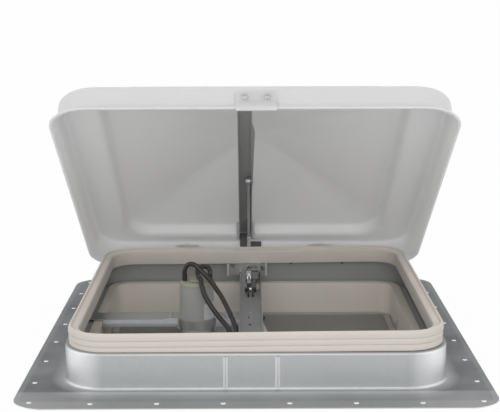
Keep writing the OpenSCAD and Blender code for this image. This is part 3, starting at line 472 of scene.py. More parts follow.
def sheet_metal(name, colour, metallic=0.75, roughness=0.4, scale=220.0, contrast=0.12, settled=0.15,
                bands=()):
    """Galvanised or plated sheet, with another colour past each band's limit, where light and shade are
    painted.
    """
    material, tree, shader = new_material(name)
    spangle = place_group(tree, "spangle", Color=solid(colour), Scale=scale, Contrast=contrast,
                          Roughness=roughness)
    dust_and_light = place_group(tree, "dust_and_light", Dust=solid(DUST), Settled=settled, Patches=0.03, Scale=16.0)
    link(tree, spangle.outputs["Color"], dust_and_light.inputs["Color"])
    finish = dust_and_light.outputs["Color"]
    for axis, limit, shade in bands:
        band = place_group(tree, "band", Axis=axis, Limit=limit)
        finish = mix_colour(tree, band.outputs["Mask"], finish, plain_colour(tree, shade))
    link(tree, finish, shader.inputs["Base Color"])
    link(tree, spangle.outputs["Roughness"], shader.inputs["Roughness"])
    shader.inputs["Metallic"].default_value = metallic
    grain = place_group(tree, "grain", Fine_scale=SHEET_FINE, Broad_scale=SHEET_BROAD)
    bump(tree, shader, grain.outputs["Broad"], strength=0.02, distance=SHEET_DEPTH)
    return material


# The flange's and the curb's outlines less their corner radii, in metres
FLANGE_CORE = (0.2005, 0.208, 0.0)
FLANGE_CORNER = 0.028
CURB_CORE = (0.146, 0.146, 0.0)
CURB_CORNER = 0.042
# Where the flange's painted shade gives way to painted light: inside its edge, beside the curb's foot and
# along its front, in metres
EDGE_LIGHT_INSET = -0.006
FOOT_START = 0.003
FOOT_LIGHT_BLEND = 0.012
FRONT_WALL = 0.19
FRONT_LIGHT_START = 0.216
FRONT_BLEND = 0.004
# Painted highlight along the curb's front foot: where it starts off the wall and how far outwards it fades,
# in metres, and how strong it is
FOOT_REACH = 0.0015
FOOT_HIGHLIGHT_WIDTH = 0.025
FOOT_HIGHLIGHT_STRENGTH = 0.8
# Between the sheet's outer and inner face, in metres
SHEET_MIDDLE = -0.0008
# Painted shade on the flange, standing in for its dark reflection, and how much less of it lies at the front
# and along its painted lighter edges
FLANGE_PAINTED_SHADE = 0.9
FRONT_LESS_SHADE = 0.46
EDGE_LESS_SHADE = 0.24
PAINTED_HIGHLIGHT = (0.95, 0.96, 0.97)
# Painted shade on the curb's inner wall
INNER_WALL_SHADE = (0.4, 0.405, 0.4)


def off_curb(tree, limit, blend):
    """One past a distance outwards from the curb's wall. Returns its output."""
    outline = place_group(tree, "outline", Half=CURB_CORE, Corner=CURB_CORNER, Limit=limit, Blend=blend)
    return outline.outputs["Mask"]


def flange_painted_shade(tree, front):
    """Painted shade on the flange for its dark reflection: less at the front, at its edge and beside the
    curb, which are painted lighter. Returns its output.
    """
    edge = place_group(tree, "outline", Half=FLANGE_CORE, Corner=FLANGE_CORNER, Limit=EDGE_LIGHT_INSET, Blend=0.001)
    strip = place_group(tree, "band", Axis=FRONT, Limit=FRONT_LIGHT_START, Blend=FRONT_BLEND)
    kept = math_node(tree, "SUBTRACT", FLANGE_PAINTED_SHADE, math_node(tree, "MULTIPLY", front, FRONT_LESS_SHADE))
    # Inside the flange's edge and along its front the painted shade gives way to painted light
    bare = math_node(tree, "MAXIMUM", edge.outputs["Mask"], strip.outputs["Mask"])
    shade_left = math_node(tree, "SUBTRACT", kept, math_node(tree, "MULTIPLY", bare, EDGE_LESS_SHADE))
    return math_node(tree, "MULTIPLY", shade_left, off_curb(tree, FOOT_START, FOOT_LIGHT_BLEND))


def foot_painted_highlight(tree, front):
    """Painted highlight beside the curb's front foot, less and less outwards. Returns its output."""
    past = off_curb(tree, FOOT_REACH, blend=0.001)
    near = math_node(tree, "SUBTRACT", past, off_curb(tree, FOOT_REACH, FOOT_HIGHLIGHT_WIDTH))
    return math_node(tree, "MULTIPLY", math_node(tree, "MULTIPLY", near, front), FOOT_HIGHLIGHT_STRENGTH)


def roof_sheet(colour, dust_and_painted_light):
    """The base's sheet: painted shade on the flange for its dark reflection, painted lighter at its edge, its
    front and beside the curb, painted highlights on the curb's round corners, ribs and front foot, and
    painted shade on the inner wall.
    """
    material, tree, shader = new_material("Galvanised sheet with painted light and shade")
    spangle = place_group(tree, "spangle", Color=solid(colour), Scale=240.0, Contrast=0.07, Roughness=0.42)
    # The dark colour that settles on upward faces here is painted shade for the flange's dark reflection; the
    # patches are handling marks
    dust_and_light = place_group(tree, "dust_and_light", Dust=solid(dust_and_painted_light), Patches=0.02, Scale=14.0)
    front = place_group(tree, "band", Axis=FRONT, Limit=FRONT_WALL, Blend=FRONT_BLEND).outputs["Mask"]
    link(tree, flange_painted_shade(tree, front), dust_and_light.inputs["Settled"])
    # The curb's inner faces get the painted shade colour, the outer faces the sheet's own
    outer = off_curb(tree, SHEET_MIDDLE, blend=0.0004)
    wall = mix_colour(tree, outer, plain_colour(tree, INNER_WALL_SHADE), spangle.outputs["Color"])
    # Painted highlight on the curb's outer round corners and ribs, and along its front foot
    bend = place_group(tree, "bend", Low=0.1, High=0.95)
    turned = math_node(tree, "MULTIPLY", bend.outputs["Mask"], outer)
    highlight_mask = math_node(tree, "MAXIMUM", turned, foot_painted_highlight(tree, front))
    link(tree, mix_colour(tree, highlight_mask, wall, plain_colour(tree, PAINTED_HIGHLIGHT)), dust_and_light.inputs["Color"])
    link(tree, dust_and_light.outputs["Color"], shader.inputs["Base Color"])
    link(tree, spangle.outputs["Roughness"], shader.inputs["Roughness"])
    shader.inputs["Metallic"].default_value = 0.7
    shader.inputs["Specular Tint"].default_value = (0.3, 0.3, 0.3, 1.0)
    grain = place_group(tree, "grain", Fine_scale=SHEET_FINE, Broad_scale=SHEET_BROAD)
    bump(tree, shader, grain.outputs["Broad"], strength=0.015, distance=SHEET_DEPTH)
    return material


def moulding(name, colour, roughness, fine, dust_and_painted_light, patches=0.1, grain_depth=0.00006, glow=0.0, settled=DUST):
    """Moulded plastic or rubber."""
    material, tree, shader = new_material(name)
    dust_and_light = place_group(tree, "dust_and_light", Color=solid(colour), Dust=solid(settled), Settled=dust_and_painted_light, Patches=patches,
                       Scale=14.0)
    link(tree, dust_and_light.outputs["Color"], shader.inputs["Base Color"])
    grain = place_group(tree, "grain", Fine_scale=fine, Broad_scale=10.0)
    link(tree, ramp(tree, grain.outputs["Broad"], 0.3, 0.7, roughness - 0.05, roughness + 0.06),
         shader.inputs["Roughness"])
    shader.inputs["Specular IOR Level"].default_value = 0.4
    shader.inputs["Subsurface Weight"].default_value = glow
    shader.inputs["Subsurface Scale"].default_value = 0.01
    shader.inputs["Subsurface Radius"].default_value = (1.0, 1.0, 1.0)
    bump(tree, shader, grain.outputs["Fine"], strength=0.25, distance=grain_depth)
    return material


MATERIALS = {}
# Where colours change on the lid's channel, the lift arm and the bracket, in metres along their sides:
# painted light on the channel's right flange, a darker lower end of the channel, painted shade on the arm's
# right side and painted highlights along the bracket's edges
CHANNEL_PAINTED_SIDE = -0.0036
CHANNEL_LIP = -0.0655
ARM_SHADE_SIDE = -0.004
BRACKET_RIGHT = 0.0139
BRACKET_LEFT = 0.0313
SHADED = (0.12, 0.118, 0.116)
BRACKET_EDGE_HIGHLIGHT = (0.7, 0.71, 0.71)


def plated(name, colour, **values):
    """Fine plating of small fittings."""
    return sheet_metal(name, colour, scale=260.0, contrast=0.1, **values)


def build_metals(tint):
    """Makes the finishes of sheet and fittings."""
    # Painted light on the channel's right flange, in its own grey for how it is lit edge-on; the channel's
    # lower end darker
    channel_bands = ((RIGHT, CHANNEL_PAINTED_SIDE, (0.34, 0.34, 0.34)), (DOWN, CHANNEL_LIP, (0.13, 0.128, 0.126)))
    # Painted highlights along the bracket's two side edges
    bracket_bands = ((RIGHT, BRACKET_RIGHT, BRACKET_EDGE_HIGHLIGHT), (LEFT, BRACKET_LEFT, BRACKET_EDGE_HIGHLIGHT))
    dark = dict(roughness=0.5, scale=180.0, contrast=0.15, settled=0.1)
    MATERIALS.update({
        "galvanised": sheet_metal("Galvanised sheet", tint.zinc),
        "zinc_plated": plated("Bright zinc", tint.bright, metallic=0.6, settled=0.06),
        "dark_steel": sheet_metal("Dull dark zinc", tint.dark, metallic=0.2, **dark),
        "screen_metal": sheet_metal("Mill aluminium", (0.55, 0.54, 0.52), metallic=0.5, roughness=0.42,
                                    scale=240.0, contrast=0.1, settled=0.2),
        # The second colour is painted shade on the flange's upward faces, for its dark reflection
        "roof_pan": roof_sheet((0.48, 0.495, 0.5), (0.165, 0.17, 0.175)),
        "lid_channel": sheet_metal("Lid channel", tint.dark, metallic=0.1, bands=channel_bands, **dark),
        # Painted shade on the arm's right side
        "lift_arm": plated("Lift arm", tint.bright, metallic=0.6, roughness=0.35, settled=0.06,
                           bands=((RIGHT, ARM_SHADE_SIDE, SHADED),)),
        "bracket": plated("Bracket", (0.42, 0.43, 0.42), metallic=0.6, settled=0.06, bands=bracket_bands),
        "dull": plated("Dull zinc", (0.24, 0.24, 0.235), metallic=0.3, roughness=0.6, settled=0.1),
        "rail": plated("Rail", (0.46, 0.465, 0.46), metallic=0.15, roughness=0.55, settled=0.05),
        "rivet": sheet_metal("Dark rivet", (0.08, 0.08, 0.08), metallic=0.3, roughness=0.5, scale=300.0,
                             contrast=0.1, settled=0.0),
        "brass": sheet_metal("Brass", (0.6, 0.43, 0.16), metallic=0.9, roughness=0.3, scale=260.0,
                             settled=0.05),
    })


def build_mouldings(tint):
    """Makes the finishes of plastic, rubber and paint."""
    MATERIALS.update({
        # On the seal, the pale colour that settles on upward faces is painted light on its tops; the patches
        # are handling marks
        "cream_rubber": moulding("Cream rubber", tint.seal, roughness=0.55, fine=1500.0, dust_and_painted_light=0.9,
                                 grain_depth=0.00008, settled=(0.9, 0.83, 0.76)),
        "cream_plastic": moulding("Cream moulding", tint.garnish, roughness=0.42, fine=900.0, dust_and_painted_light=0.12),
        "white_plastic": moulding("White moulding", tint.lid, roughness=0.38, fine=800.0, dust_and_painted_light=0.04,
                                  patches=0.05, glow=0.7),
        "black_rubber": moulding("Black rubber", (0.025, 0.025, 0.025), roughness=0.6, fine=1200.0,
                                 dust_and_painted_light=0.25),
        "black_plastic": moulding("Black moulding", (0.03, 0.03, 0.031), roughness=0.4, fine=1000.0,
                                  dust_and_painted_light=0.2, patches=0.08),
        "wire_sleeve": moulding("Wire sleeve", tint.wire, roughness=0.32, fine=1600.0, dust_and_painted_light=0.12),
        "motor_grey": moulding("Motor paint", tint.motor, roughness=0.4, fine=700.0, dust_and_painted_light=0.15),
        "motor_cap": moulding("Motor cap", tint.cap, roughness=0.5, fine=900.0, dust_and_painted_light=0.12),
        "label": moulding("Bare label", (0.62, 0.63, 0.63), roughness=0.5, fine=1200.0, dust_and_painted_light=0.1,
                          patches=0.08),
    })


class VENT_OT_camera(bpy.types.Operator):
    """Places the camera where the vent is seen from the front and a little above."""

    bl_idname = "vent.camera"
    bl_label = "Camera"

    def execute(self, context):
        bpy.ops.object.camera_add()
        camera = context.object
        camera.name = "Studio_camera"
        level_share = math.cos(CAMERA_PITCH)
        forward = Vector((math.sin(CAMERA_YAW) * level_share, math.cos(CAMERA_YAW) * level_share,
                          -math.sin(CAMERA_PITCH)))
        level = forward.cross(Vector((0, 0, 1))).normalized()
        right = Matrix.Rotation(CAMERA_ROLL, 3, forward) @ level
        up = right.cross(forward)
        turn = Matrix((right, up, -forward)).transposed().to_4x4()
        camera.matrix_world = Matrix.Translation(CAMERA_PLACE) @ turn
        camera.data.sensor_fit = "HORIZONTAL"
        camera.data.sensor_width = SENSOR_WIDTH
        camera.data.lens = FOCAL_PIXELS / IMAGE_WIDTH * SENSOR_WIDTH
        camera.data.dof.use_dof = False
        camera.data.clip_end = CAMERA_FAR
        context.scene.camera = camera
        return {"FINISHED"}


class VENT_OT_finishes(bpy.types.Operator):
    """Gives every solid its finish."""

    bl_idname = "vent.finishes"
    bl_label = "Finishes"

    def execute(self, context):
        build_metals(colours())
        build_mouldings(colours())
        for name, solid_node in frame["nodes"].items():
            solid_node.data.materials.clear()
            solid_node.data.materials.append(MATERIALS[OWN_FINISH.get(name, NODE_SLOT[name])])
        return {"FINISHED"}


def follow(route):
    """A route in metres, let down little by little to the switch's tabs."""
    last = len(route) - 1
    places = []
    for step, place in enumerate(route):
        kept = (last - SWITCH_SPANS - step) / (last - SWITCH_SPANS - MOTOR_SPANS)
        kept = max(0.0, min(1.0, kept))
        places.append(Vector(place) / 1000 + Vector((0, 0, MOTOR_LIFT - SWITCH_DROP * (1 - kept))))
    return places


class VENT_OT_wires(bpy.types.Operator):
    """Runs the two motor wires from the motor's terminals to the switch."""

    bl_idname = "vent.wires"
    bl_label = "Motor wires"

    def execute(self, context):
        for name, drawn in (("wire_a", ROUTE_A), ("wire_b", ROUTE_B)):
            route = follow(drawn)
            deselect_all()
            curve = bpy.data.curves.new("motor_" + name, "CURVE")
            curve.dimensions = "3D"
            curve.bevel_depth = WIRE_DIAMETER / 2
            curve.bevel_resolution = 4
            curve.resolution_u = 8
            curve.use_fill_caps = True
            spline = curve.splines.new("BEZIER")
            spline.bezier_points.add(len(route) - 1)
            for point, place in zip(spline.bezier_points, route):
                point.co = place
                point.handle_left_type = "AUTO"
                point.handle_right_type = "AUTO"
            piece = bpy.data.objects.new("motor_" + name, curve)
            context.scene.collection.objects.link(piece)
            piece.data.materials.append(MATERIALS["wire_sleeve"])
            context.view_layer.update()
            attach(piece, "base")
            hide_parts(name)
        return {"FINISHED"}


class VENT_OT_screen(bpy.types.Operator):
    """Weaves the fine insect screen in place of the coarse net."""

    bl_idname = "vent.screen"
    bl_label = "Insect screen"

    def execute(self, context):
        low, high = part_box("screen_mesh")
        middle = (low + high) / 2
        span = high - low
        strand = sizes().strand
        pitch = sizes().mesh_pitch
        runs = []
        for along, across, lift in ((1, 0, strand / 2), (0, 1, -strand / 2)):
            deselect_all()
            size = [strand, strand, strand]
            size[along] = span[along]
            place = middle.copy()
            place[across] = low[across] + pitch / 2
            place.z = middle.z + lift
            bpy.ops.mesh.primitive_cube_add(size=1, location=place)
            run = context.object
            run.scale = size
            bpy.ops.object.transform_apply(location=False, rotation=False, scale=True)
            repeat = run.modifiers.new("strands", "ARRAY")
            repeat.use_relative_offset = False
            repeat.use_constant_offset = True
            offset = [0.0, 0.0, 0.0]
            offset[across] = pitch
            repeat.constant_offset_displace = offset
            repeat.count = int(span[across] / pitch)
            apply_modifiers(run)
            runs.append(run)
        screen = settle(join(runs), "insect_screen", "base", MATERIALS["screen_metal"])
        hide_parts("screen_mesh")
        return {"FINISHED"}


# Rings of the closed lid's outside from the lip up: half width, half depth and height in millimetres
LID_RINGS = (
    (207, 203, 31), (205.2, 201.2, 32.6), (202, 198, 35.4), (200.4, 196.4, 38), (200, 196, 41),
    (200, 196, 53), (199.6, 195.6, 56.6), (198.3, 194.3, 59.3), (196.4, 192.4, 60.7), (194, 190, 61.2),
    (166, 180, 61.2), (163, 177.4, 61.6), (161, 175.8, 62.8), (160, 175, 64.8), (157.4, 172.4, 70.6),
    (156.2, 171.2, 73.4), (154, 169, 75), (150, 165, 76.4), (96, 104, 90.4), (42, 42, 104.4),
    (32, 32, 106.6), (22, 22, 108.4), (12, 12, 109.6), (5, 5, 110),
)
LIP_CORNER = 0.04
LIP_STEPS = 10
LIP_Z = 0.0298
LID_CENTRE_Y = 0.005
LID_WALL = 0.0024
HINGE = Vector((0, 0.203, 0.023))
OPEN_ANGLE = math.radians(36)
# The tunnel's inside, where its outside starts from the low corner, and the roundings of both
TUNNEL_LOW = Vector((-0.0199, 0.165, 0.044))
TUNNEL_HIGH = Vector((-0.0011, 0.1962, 0.0728))
TUNNEL_START = Vector((-LID_WALL, 0.004, 0.0158))
TUNNEL_OUTER_EDGE = 0.0022
TUNNEL_INNER_EDGE = 0.001
# Points nearer than this are one point, in metres
SAME_POINT = 0.00001
# How near the lip, in metres, and how level a face of the lid's open underside is
NEAR_LIP = 0.0001
LEVEL = 0.9


def opened():
    """Turn from the closed lid to where the lid stands open."""
    return Matrix.Translation(HINGE) @ Matrix.Rotation(-OPEN_ANGLE, 4, "X") @ Matrix.Translation(-HINGE)


def box_between(low, high, edge, segments):
    """A block between two corners with rounded edges."""
    deselect_all()
    bpy.ops.mesh.primitive_cube_add(size=1, location=(low + high) / 2)
    block = bpy.context.object
    block.scale = high - low
    bpy.ops.object.transform_apply(location=True, rotation=False, scale=True)
    bpy.ops.object.mode_set(mode="EDIT")
    bpy.ops.mesh.select_all(action="SELECT")
    bpy.ops.mesh.bevel(offset=edge, segments=segments, affect="EDGES")
    bpy.ops.object.mode_set(mode="OBJECT")
    return block


def carve(piece, tool, operation):
    """Joins a tool to a piece or cuts it out, then removes the tool."""
    cutter = piece.modifiers.new(operation.lower(), "BOOLEAN")
    cutter.operation = operation
    cutter.solver = "EXACT"
    cutter.object = tool
    apply_modifiers(piece)
    bpy.data.objects.remove(tool)


class VENT_OT_lid(bpy.types.Operator):
    """Moulds the lid: lip, skirt, flat border, step and low crown, with a tunnel over the lift arm."""

    bl_idname = "vent.lid"
    bl_label = "Lid"

    def execute(self, context):
        deselect_all()
        half = Vector(LID_RINGS[0][:2]) / 1000
        bpy.ops.mesh.primitive_plane_add(size=2, location=(0, LID_CENTRE_Y, LIP_Z))
        lid = context.object
        lid.scale = (half.x, half.y, 1)
        bpy.ops.object.transform_apply(location=True, rotation=False, scale=True)
        bpy.ops.object.mode_set(mode="EDIT")
        bpy.ops.mesh.select_all(action="SELECT")
        bpy.ops.mesh.bevel(offset=LIP_CORNER, segments=LIP_STEPS, affect="VERTICES")
        height = LIP_Z
        for ring in LID_RINGS:
            wide, deep, top = (value / 1000 for value in ring)
            bpy.ops.mesh.extrude_region_move(TRANSFORM_OT_translate={"value": (0, 0, top - height)})
            bpy.ops.transform.resize(value=(wide / half.x, deep / half.y, 1),
                                     center_override=(0, LID_CENTRE_Y, top))
            half = Vector((wide, deep))
            height = top
        bpy.ops.mesh.select_mode(type="FACE")
        bpy.ops.mesh.select_all(action="DESELECT")
        bpy.ops.object.mode_set(mode="OBJECT")
        for face in lid.data.polygons:
            face.select = face.center.z < LIP_Z + NEAR_LIP and abs(face.normal.z) > LEVEL
        bpy.ops.object.mode_set(mode="EDIT")
        bpy.ops.mesh.delete(type="ONLY_FACE")
        bpy.ops.mesh.select_all(action="SELECT")
        bpy.ops.mesh.remove_doubles(threshold=SAME_POINT)
        bpy.ops.mesh.normals_make_consistent(inside=False)
        bpy.ops.object.mode_set(mode="OBJECT")
        wall = lid.modifiers.new("wall", "SOLIDIFY")
        wall.thickness = LID_WALL
        wall.offset = -1
        wall.use_even_offset = True
        apply_modifiers(lid)
        skin = Vector((LID_WALL, LID_WALL, LID_WALL))
        outside = box_between(TUNNEL_LOW + TUNNEL_START, TUNNEL_HIGH + skin, TUNNEL_OUTER_EDGE, segments=3)
        carve(lid, outside, "UNION")
        inside = box_between(TUNNEL_LOW, TUNNEL_HIGH, TUNNEL_INNER_EDGE, segments=2)
        carve(lid, inside, "DIFFERENCE")
        lid.matrix_world = opened()
        settle(lid, "lid_moulding", "lid", MATERIALS["white_plastic"])
        smooth(lid, degrees=38.0)
        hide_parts("lid_shell")
        return {"FINISHED"}


# The seal's outline up the outside, down the inside and round the slot for the rim, in millimetres:
# distance out from the curb's wall, and height
SEAL_OUTLINE = (
    (-4.6, 38.15), (-4.1, 38.5), (-3.9, 39.4), (-4, 43.4), (-4.3, 44), (-4.35, 44.3), (-3.75, 44.8),
    (-3.5, 45.8), (-3.6, 49.6), (-3.9, 50.1), (-3.95, 50.4), (-3.3, 51), (-3.1, 52), (-3.15, 55.6),
    (-3.5, 57), (-4.4, 58), (-5.2, 58.4), (-6, 58.2), (-6.7, 57.4), (-7.2, 56.8), (-8.2, 56.4),
    (-12.2, 55.6), (-13.3, 55.1), (-13.9, 54.2), (-14, 53), (-14, 40.2), (-13.6, 39.3), (-12.8, 39),
    (-9.1, 39), (-9.1, 53.1), (-7.9, 53.1), (-7.9, 38.15),
)
CURB_HALF = 0.188
# Steps round each corner and spans along each side
SEAL_STEPS = 14
SEAL_SPANS = 16
# How far the sweep's size may be off, in metres
SWEEP_ERROR = 0.0001
# Height above which the seal sags, and its sagging corners with their drop and reach, in metres
SAG_FROM = 0.05
SAGS = (
    (Vector((-1, 1, 0)), 0.0031, 0.4),
    (Vector((-1, -1, 0)), 0.002, 0.3),
)


class VENT_OT_seal(bpy.types.Operator):
    """Sweeps the banded seal round the rim: straight along each side, then round each corner."""

    bl_idname = "vent.seal"
    bl_label = "Rim seal"

    def execute(self, context):
        deselect_all()
        run = CURB_HALF - CURB_CORNER
        points = [Vector((CURB_HALF + out / 1000, -run, up / 1000)) for out, up in SEAL_OUTLINE]
        bpy.ops.mesh.primitive_plane_add(size=0.001, location=points[0])
        seal = context.object
        bpy.ops.object.transform_apply(location=True, rotation=False, scale=False)
        bpy.ops.object.mode_set(mode="EDIT")
        bpy.ops.mesh.select_mode(type="VERT")
        bpy.ops.mesh.select_all(action="SELECT")
        bpy.ops.mesh.merge(type="CENTER")
        for here, there in zip(points, points[1:] + points[:1]):
            bpy.ops.mesh.extrude_region_move(TRANSFORM_OT_translate={"value": there - here})
        bpy.ops.mesh.select_all(action="SELECT")
        bpy.ops.mesh.remove_doubles(threshold=SAME_POINT)
        bpy.ops.mesh.select_all(action="SELECT")
        for quarter in range(4):
            turn = Matrix.Rotation(quarter * math.pi / 2, 3, "Z")
            for span in range(SEAL_SPANS):
                step = turn @ Vector((0, 2 * run / SEAL_SPANS, 0))
                bpy.ops.mesh.extrude_region_move(TRANSFORM_OT_translate={"value": step})
            centre = turn @ Vector((run, run, 0))
            bpy.ops.mesh.spin(steps=SEAL_STEPS, angle=-math.pi / 2, center=centre, axis=(0, 0, 1))
        bpy.ops.mesh.select_all(action="SELECT")
        bpy.ops.mesh.remove_doubles(threshold=2 * SAME_POINT)
        bpy.ops.mesh.normals_make_consistent(inside=False)
        bpy.ops.object.mode_set(mode="OBJECT")
        across = 2 * (CURB_HALF + max(out for out, up in SEAL_OUTLINE) / 1000)
        if max(abs(seal.dimensions.x - across), abs(seal.dimensions.y - across)) > SWEEP_ERROR:
            raise RuntimeError(f"the seal's sweep went astray: {tuple(seal.dimensions)}")
        for corner, drop, reach in SAGS:
            self.sag(seal, corner, drop, reach)
        settle(seal, "seal_moulding", "base", MATERIALS["cream_rubber"])
        smooth(seal, degrees=40.0)
        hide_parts("rim_seal")
        return {"FINISHED"}

    def sag(self, seal, corner, drop, reach):
        """Lets the seal's upper part down at one corner, less and less along the sides."""
        bpy.ops.object.mode_set(mode="EDIT")
        bpy.ops.mesh.select_all(action="DESELECT")
        bpy.ops.object.mode_set(mode="OBJECT")
        run = CURB_HALF - CURB_CORNER
        for point in seal.data.vertices:
            at_corner = point.co.x * corner.x > run and point.co.y * corner.y > run
            point.select = at_corner and point.co.z > SAG_FROM
        bpy.ops.object.mode_set(mode="EDIT")
        bpy.ops.transform.translate(value=(0, 0, -drop), use_proportional_edit=True,
                                    proportional_edit_falloff="SMOOTH", proportional_size=reach)
        bpy.ops.object.mode_set(mode="OBJECT")


# Bare label on the motor: axis, radius and heights in metres, and its reach round from the front
MOTOR_AXIS = Vector((-0.065, 0.012, 0))
LABEL_RADIUS = 0.01905
LABEL_LOW = 0.0165
LABEL_HIGH = 0.0345
LABEL_FROM = math.radians(27)
LABEL_TO = math.radians(84)
LABEL_THICK = 0.00015
LABEL_SIDES = 120


class VENT_OT_label(bpy.types.Operator):
    """Wraps a bare label round the motor's right front."""

    bl_idname = "vent.label"
    bl_label = "Motor label"

    def execute(self, context):
        deselect_all()
        middle = MOTOR_AXIS + Vector((0, 0, (LABEL_LOW + LABEL_HIGH) / 2))
        bpy.ops.mesh.primitive_cylinder_add(
            vertices=LABEL_SIDES, radius=LABEL_RADIUS, depth=LABEL_HIGH - LABEL_LOW,
            end_fill_type="NOTHING", location=middle)
        label = context.object
        bpy.ops.object.transform_apply(location=True, rotation=False, scale=False)
        bpy.ops.object.mode_set(mode="EDIT")
        bpy.ops.mesh.select_mode(type="FACE")
        bpy.ops.mesh.select_all(action="DESELECT")
        bpy.ops.object.mode_set(mode="OBJECT")
        for face in label.data.polygons:
            out = face.center - MOTOR_AXIS
            face.select = not LABEL_FROM < math.atan2(out.x, -out.y) < LABEL_TO
        bpy.ops.object.mode_set(mode="EDIT")
        bpy.ops.mesh.delete(type="FACE")
        bpy.ops.object.mode_set(mode="OBJECT")
        skin = label.modifiers.new("skin", "SOLIDIFY")
        skin.thickness = LABEL_THICK
        skin.offset = 1
        apply_modifiers(label)
        settle(label, "motor_label", "base", MATERIALS["label"])
        smooth(label)
        return {"FINISHED"}


# Blind rivets at the top of the rear wall and in the channel's floor: places and sizes in metres
WALL_RIVETS = ((-0.0683, 0.187, 0.0345), (0.0469, 0.187, 0.0345), (0.1114, 0.187, 0.0345))
FLOOR_RIVETS = ((-0.006, 0.0084, 0.0153), (-0.0055, -0.0201, 0.0153))
RIVET_RADIUS = 0.0015
RIVET_DEPTH = 0.0008
RIVET_SIDES = 20


class VENT_OT_rivets(bpy.types.Operator):
    """Sets dark blind rivets into the rear wall under the seal and into the channel's floor."""

    bl_idname = "vent.rivets"
    bl_label = "Wall rivets"

    def execute(self, context):
        heads = []
        places = [(Vector(place), Vector((0, -1, 0)), math.radians(90)) for place in WALL_RIVETS]
        places += [(Vector(place), Vector((0, 0, 1)), 0.0) for place in FLOOR_RIVETS]
        for place, facing, lean in places:
            deselect_all()
            bpy.ops.mesh.primitive_cylinder_add(
                vertices=RIVET_SIDES, radius=RIVET_RADIUS, depth=RIVET_DEPTH,
                location=place + facing * RIVET_DEPTH / 2, rotation=(lean, 0, 0))
            head = context.object
            bpy.ops.object.mode_set(mode="EDIT")
            bpy.ops.mesh.select_all(action="SELECT")
            bpy.ops.mesh.bevel(offset=RIVET_DEPTH / 3, segments=2, affect="EDGES")
            bpy.ops.object.mode_set(mode="OBJECT")
            heads.append(head)
        rivets = settle(join(heads), "wall_rivets", "base", MATERIALS["rivet"])
        smooth(rivets)
        return {"FINISHED"}


# Sizes of the studio's roof, its opening and the room below, in metres
ROOF_GAP = 0.0004
ROOF_THICK = 0.01
OPENING_HALF = 0.186
ROOM_HALF = 0.215
# Soft lamps: name, place and width in metres, and power in watts
LAMPS = (
    ("Key lamp", (-0.1, -3.0, 0.62), 1.7, 3.4),
    ("Fill lamp", (1.7, -1.5, 0.9), 1.8, 3.0),
    ("Left lamp", (-1.7, -1.5, 0.9), 1.8, 4.0),
    ("Top lamp", (0.1, -2.35, 1.1), 1.3, 8.5),
)
LAMP_AIM = Vector((0, 0, 0.08))
WORLD_LIGHT = 0.75
WHITE = (1.0, 1.0, 1.0, 1.0)
FLOOR_WHITE = (0.95, 0.95, 0.95, 1.0)
FLOOR_GLOW = 0.96


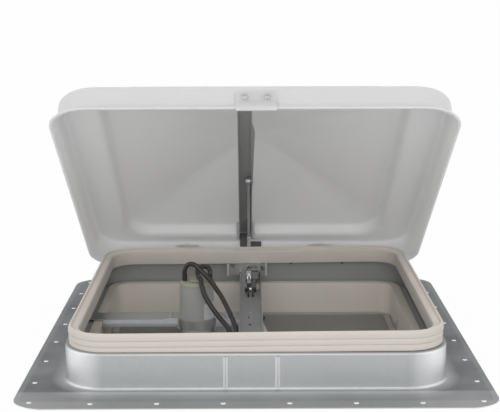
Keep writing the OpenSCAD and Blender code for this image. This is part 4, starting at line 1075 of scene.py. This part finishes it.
class VENT_OT_stage(bpy.types.Operator):
    """Sets the pale floor, the white surround and the soft lamps."""

    bl_idname = "vent.stage"
    bl_label = "Studio"

    def execute(self, context):
        scene = context.scene
        scene.view_settings.view_transform = "Standard"
        self.roof()
        self.surround(scene)
        for name, place, size, power in LAMPS:
            self.lamp(name, place, size, power)
        return {"FINISHED"}

    def roof(self):
        """A pale roof with the opening that the vent hangs in and a dim room below."""
        deselect_all()
        wide = sizes().floor_size / 2
        bpy.ops.mesh.primitive_plane_add(size=2 * wide, location=(0, 0, -ROOF_GAP))
        roof = bpy.context.object
        roof.name = "studio_floor"
        bpy.ops.object.mode_set(mode="EDIT")
        bpy.ops.mesh.select_all(action="SELECT")
        bpy.ops.mesh.inset(thickness=wide - OPENING_HALF)
        bpy.ops.mesh.extrude_region_move(TRANSFORM_OT_translate={"value": (0, 0, -ROOF_THICK)})
        bpy.ops.mesh.extrude_region_move(TRANSFORM_OT_translate={"value": (0, 0, -ROOF_GAP)})
        bpy.ops.transform.resize(value=(ROOM_HALF / OPENING_HALF, ROOM_HALF / OPENING_HALF, 1))
        drop = CAD_LOW[2] + ROOF_THICK + ROOF_GAP
        bpy.ops.mesh.extrude_region_move(TRANSFORM_OT_translate={"value": (0, 0, drop)})
        bpy.ops.object.mode_set(mode="OBJECT")
        roof.data.materials.append(self.floor_material())
        roof.data.materials.append(self.room_material())
        for face in roof.data.polygons:
            face.material_index = 1 if face.center.z < -2 * ROOF_GAP else 0

    def room_material(self):
        """Dim grey of the room below."""
        material, tree, shader = new_material("Room below")
        shader.inputs["Roughness"].default_value = 0.9
        cloud = object_noise(tree, scale=6.0)
        link(tree, ramp(tree, cloud, 0.3, 0.7, 0.2, 0.26), shader.inputs["Base Color"])
        return material

    def seen_directly(self, tree):
        """One where the camera, a reflection or a clear material looks at the surround."""
        path = node(tree, "ShaderNodeLightPath")
        glossy = math_node(tree, "MAXIMUM", path.outputs["Is Camera Ray"], path.outputs["Is Glossy Ray"])
        return math_node(tree, "MAXIMUM", glossy, path.outputs["Is Transmission Ray"])

    def floor_material(self):
        """White floor that keeps a soft shadow."""
        material = bpy.data.materials.new("Studio floor")
        material.use_nodes = True
        tree = material.node_tree
        tree.nodes.clear()
        lit = node(tree, "ShaderNodeBsdfDiffuse")
        lit.inputs["Color"].default_value = FLOOR_WHITE
        glow = node(tree, "ShaderNodeEmission")
        glow.inputs["Color"].default_value = WHITE
        mixed = node(tree, "ShaderNodeMixShader")
        share = math_node(tree, "MULTIPLY", self.seen_directly(tree), FLOOR_GLOW)
        link(tree, share, mixed.inputs["Fac"])
        link(tree, lit.outputs["BSDF"], mixed.inputs[1])
        link(tree, glow.outputs["Emission"], mixed.inputs[2])
        output = node(tree, "ShaderNodeOutputMaterial")
        link(tree, mixed.outputs["Shader"], output.inputs["Surface"])
        return material

    def surround(self, scene):
        """White world to the eye, softer for the light it throws."""
        world = bpy.data.worlds.new("Studio surround")
        scene.world = world
        world.use_nodes = True
        tree = world.node_tree
        tree.nodes.clear()
        background = node(tree, "ShaderNodeBackground")
        background.inputs["Color"].default_value = WHITE
        strength = ramp(tree, self.seen_directly(tree), 0.0, 1.0, WORLD_LIGHT, 1.0)
        link(tree, strength, background.inputs["Strength"])
        output = node(tree, "ShaderNodeOutputWorld")
        link(tree, background.outputs["Background"], output.inputs["Surface"])

    def lamp(self, name, place, size, power):
        """One soft square lamp that looks at the vent."""
        bpy.ops.object.light_add(type="AREA", location=place)
        lamp = bpy.context.object
        lamp.name = name
        lamp.data.size = size
        lamp.data.energy = power
        aim = LAMP_AIM - Vector(place)
        lamp.rotation_euler = aim.to_track_quat("-Z", "Y").to_euler()


class VENT_PT_panel(bpy.types.Panel):
    """Lists the vent's building steps."""

    bl_label = "Roof Vent"
    bl_idname = "VENT_PT_panel"
    bl_space_type = "VIEW_3D"
    bl_region_type = "UI"
    bl_category = "Roof Vent"

    def draw(self, context):
        for step in STEPS:
            self.layout.operator(step.bl_idname)
        for group in (context.scene.vent_colours, context.scene.vent_sizes):
            for name in group.__annotations__:
                self.layout.prop(group, name)


STEPS = (
    VENT_OT_camera, VENT_OT_finishes, VENT_OT_wires, VENT_OT_screen, VENT_OT_lid, VENT_OT_seal,
    VENT_OT_label, VENT_OT_rivets, VENT_OT_stage,
)
CLASSES = (VentColours, VentSizes) + STEPS + (VENT_PT_panel,)


def register():
    """Registers the classes and their settings."""
    for item in CLASSES:
        bpy.utils.register_class(item)
    bpy.types.Scene.vent_colours = bpy.props.PointerProperty(type=VentColours)
    bpy.types.Scene.vent_sizes = bpy.props.PointerProperty(type=VentSizes)


def unregister():
    """Removes the settings and the classes."""
    del bpy.types.Scene.vent_sizes
    del bpy.types.Scene.vent_colours
    for item in reversed(CLASSES):
        bpy.utils.unregister_class(item)


def main():
    """Builds the vent step by step."""
    register()
    bpy.ops.vent.camera()
    bpy.ops.vent.finishes()
    bpy.ops.vent.wires()
    bpy.ops.vent.screen()
    bpy.ops.vent.lid()
    bpy.ops.vent.seal()
    bpy.ops.vent.label()
    bpy.ops.vent.rivets()
    bpy.ops.vent.stage()


if __name__ == "__main__":
    main()
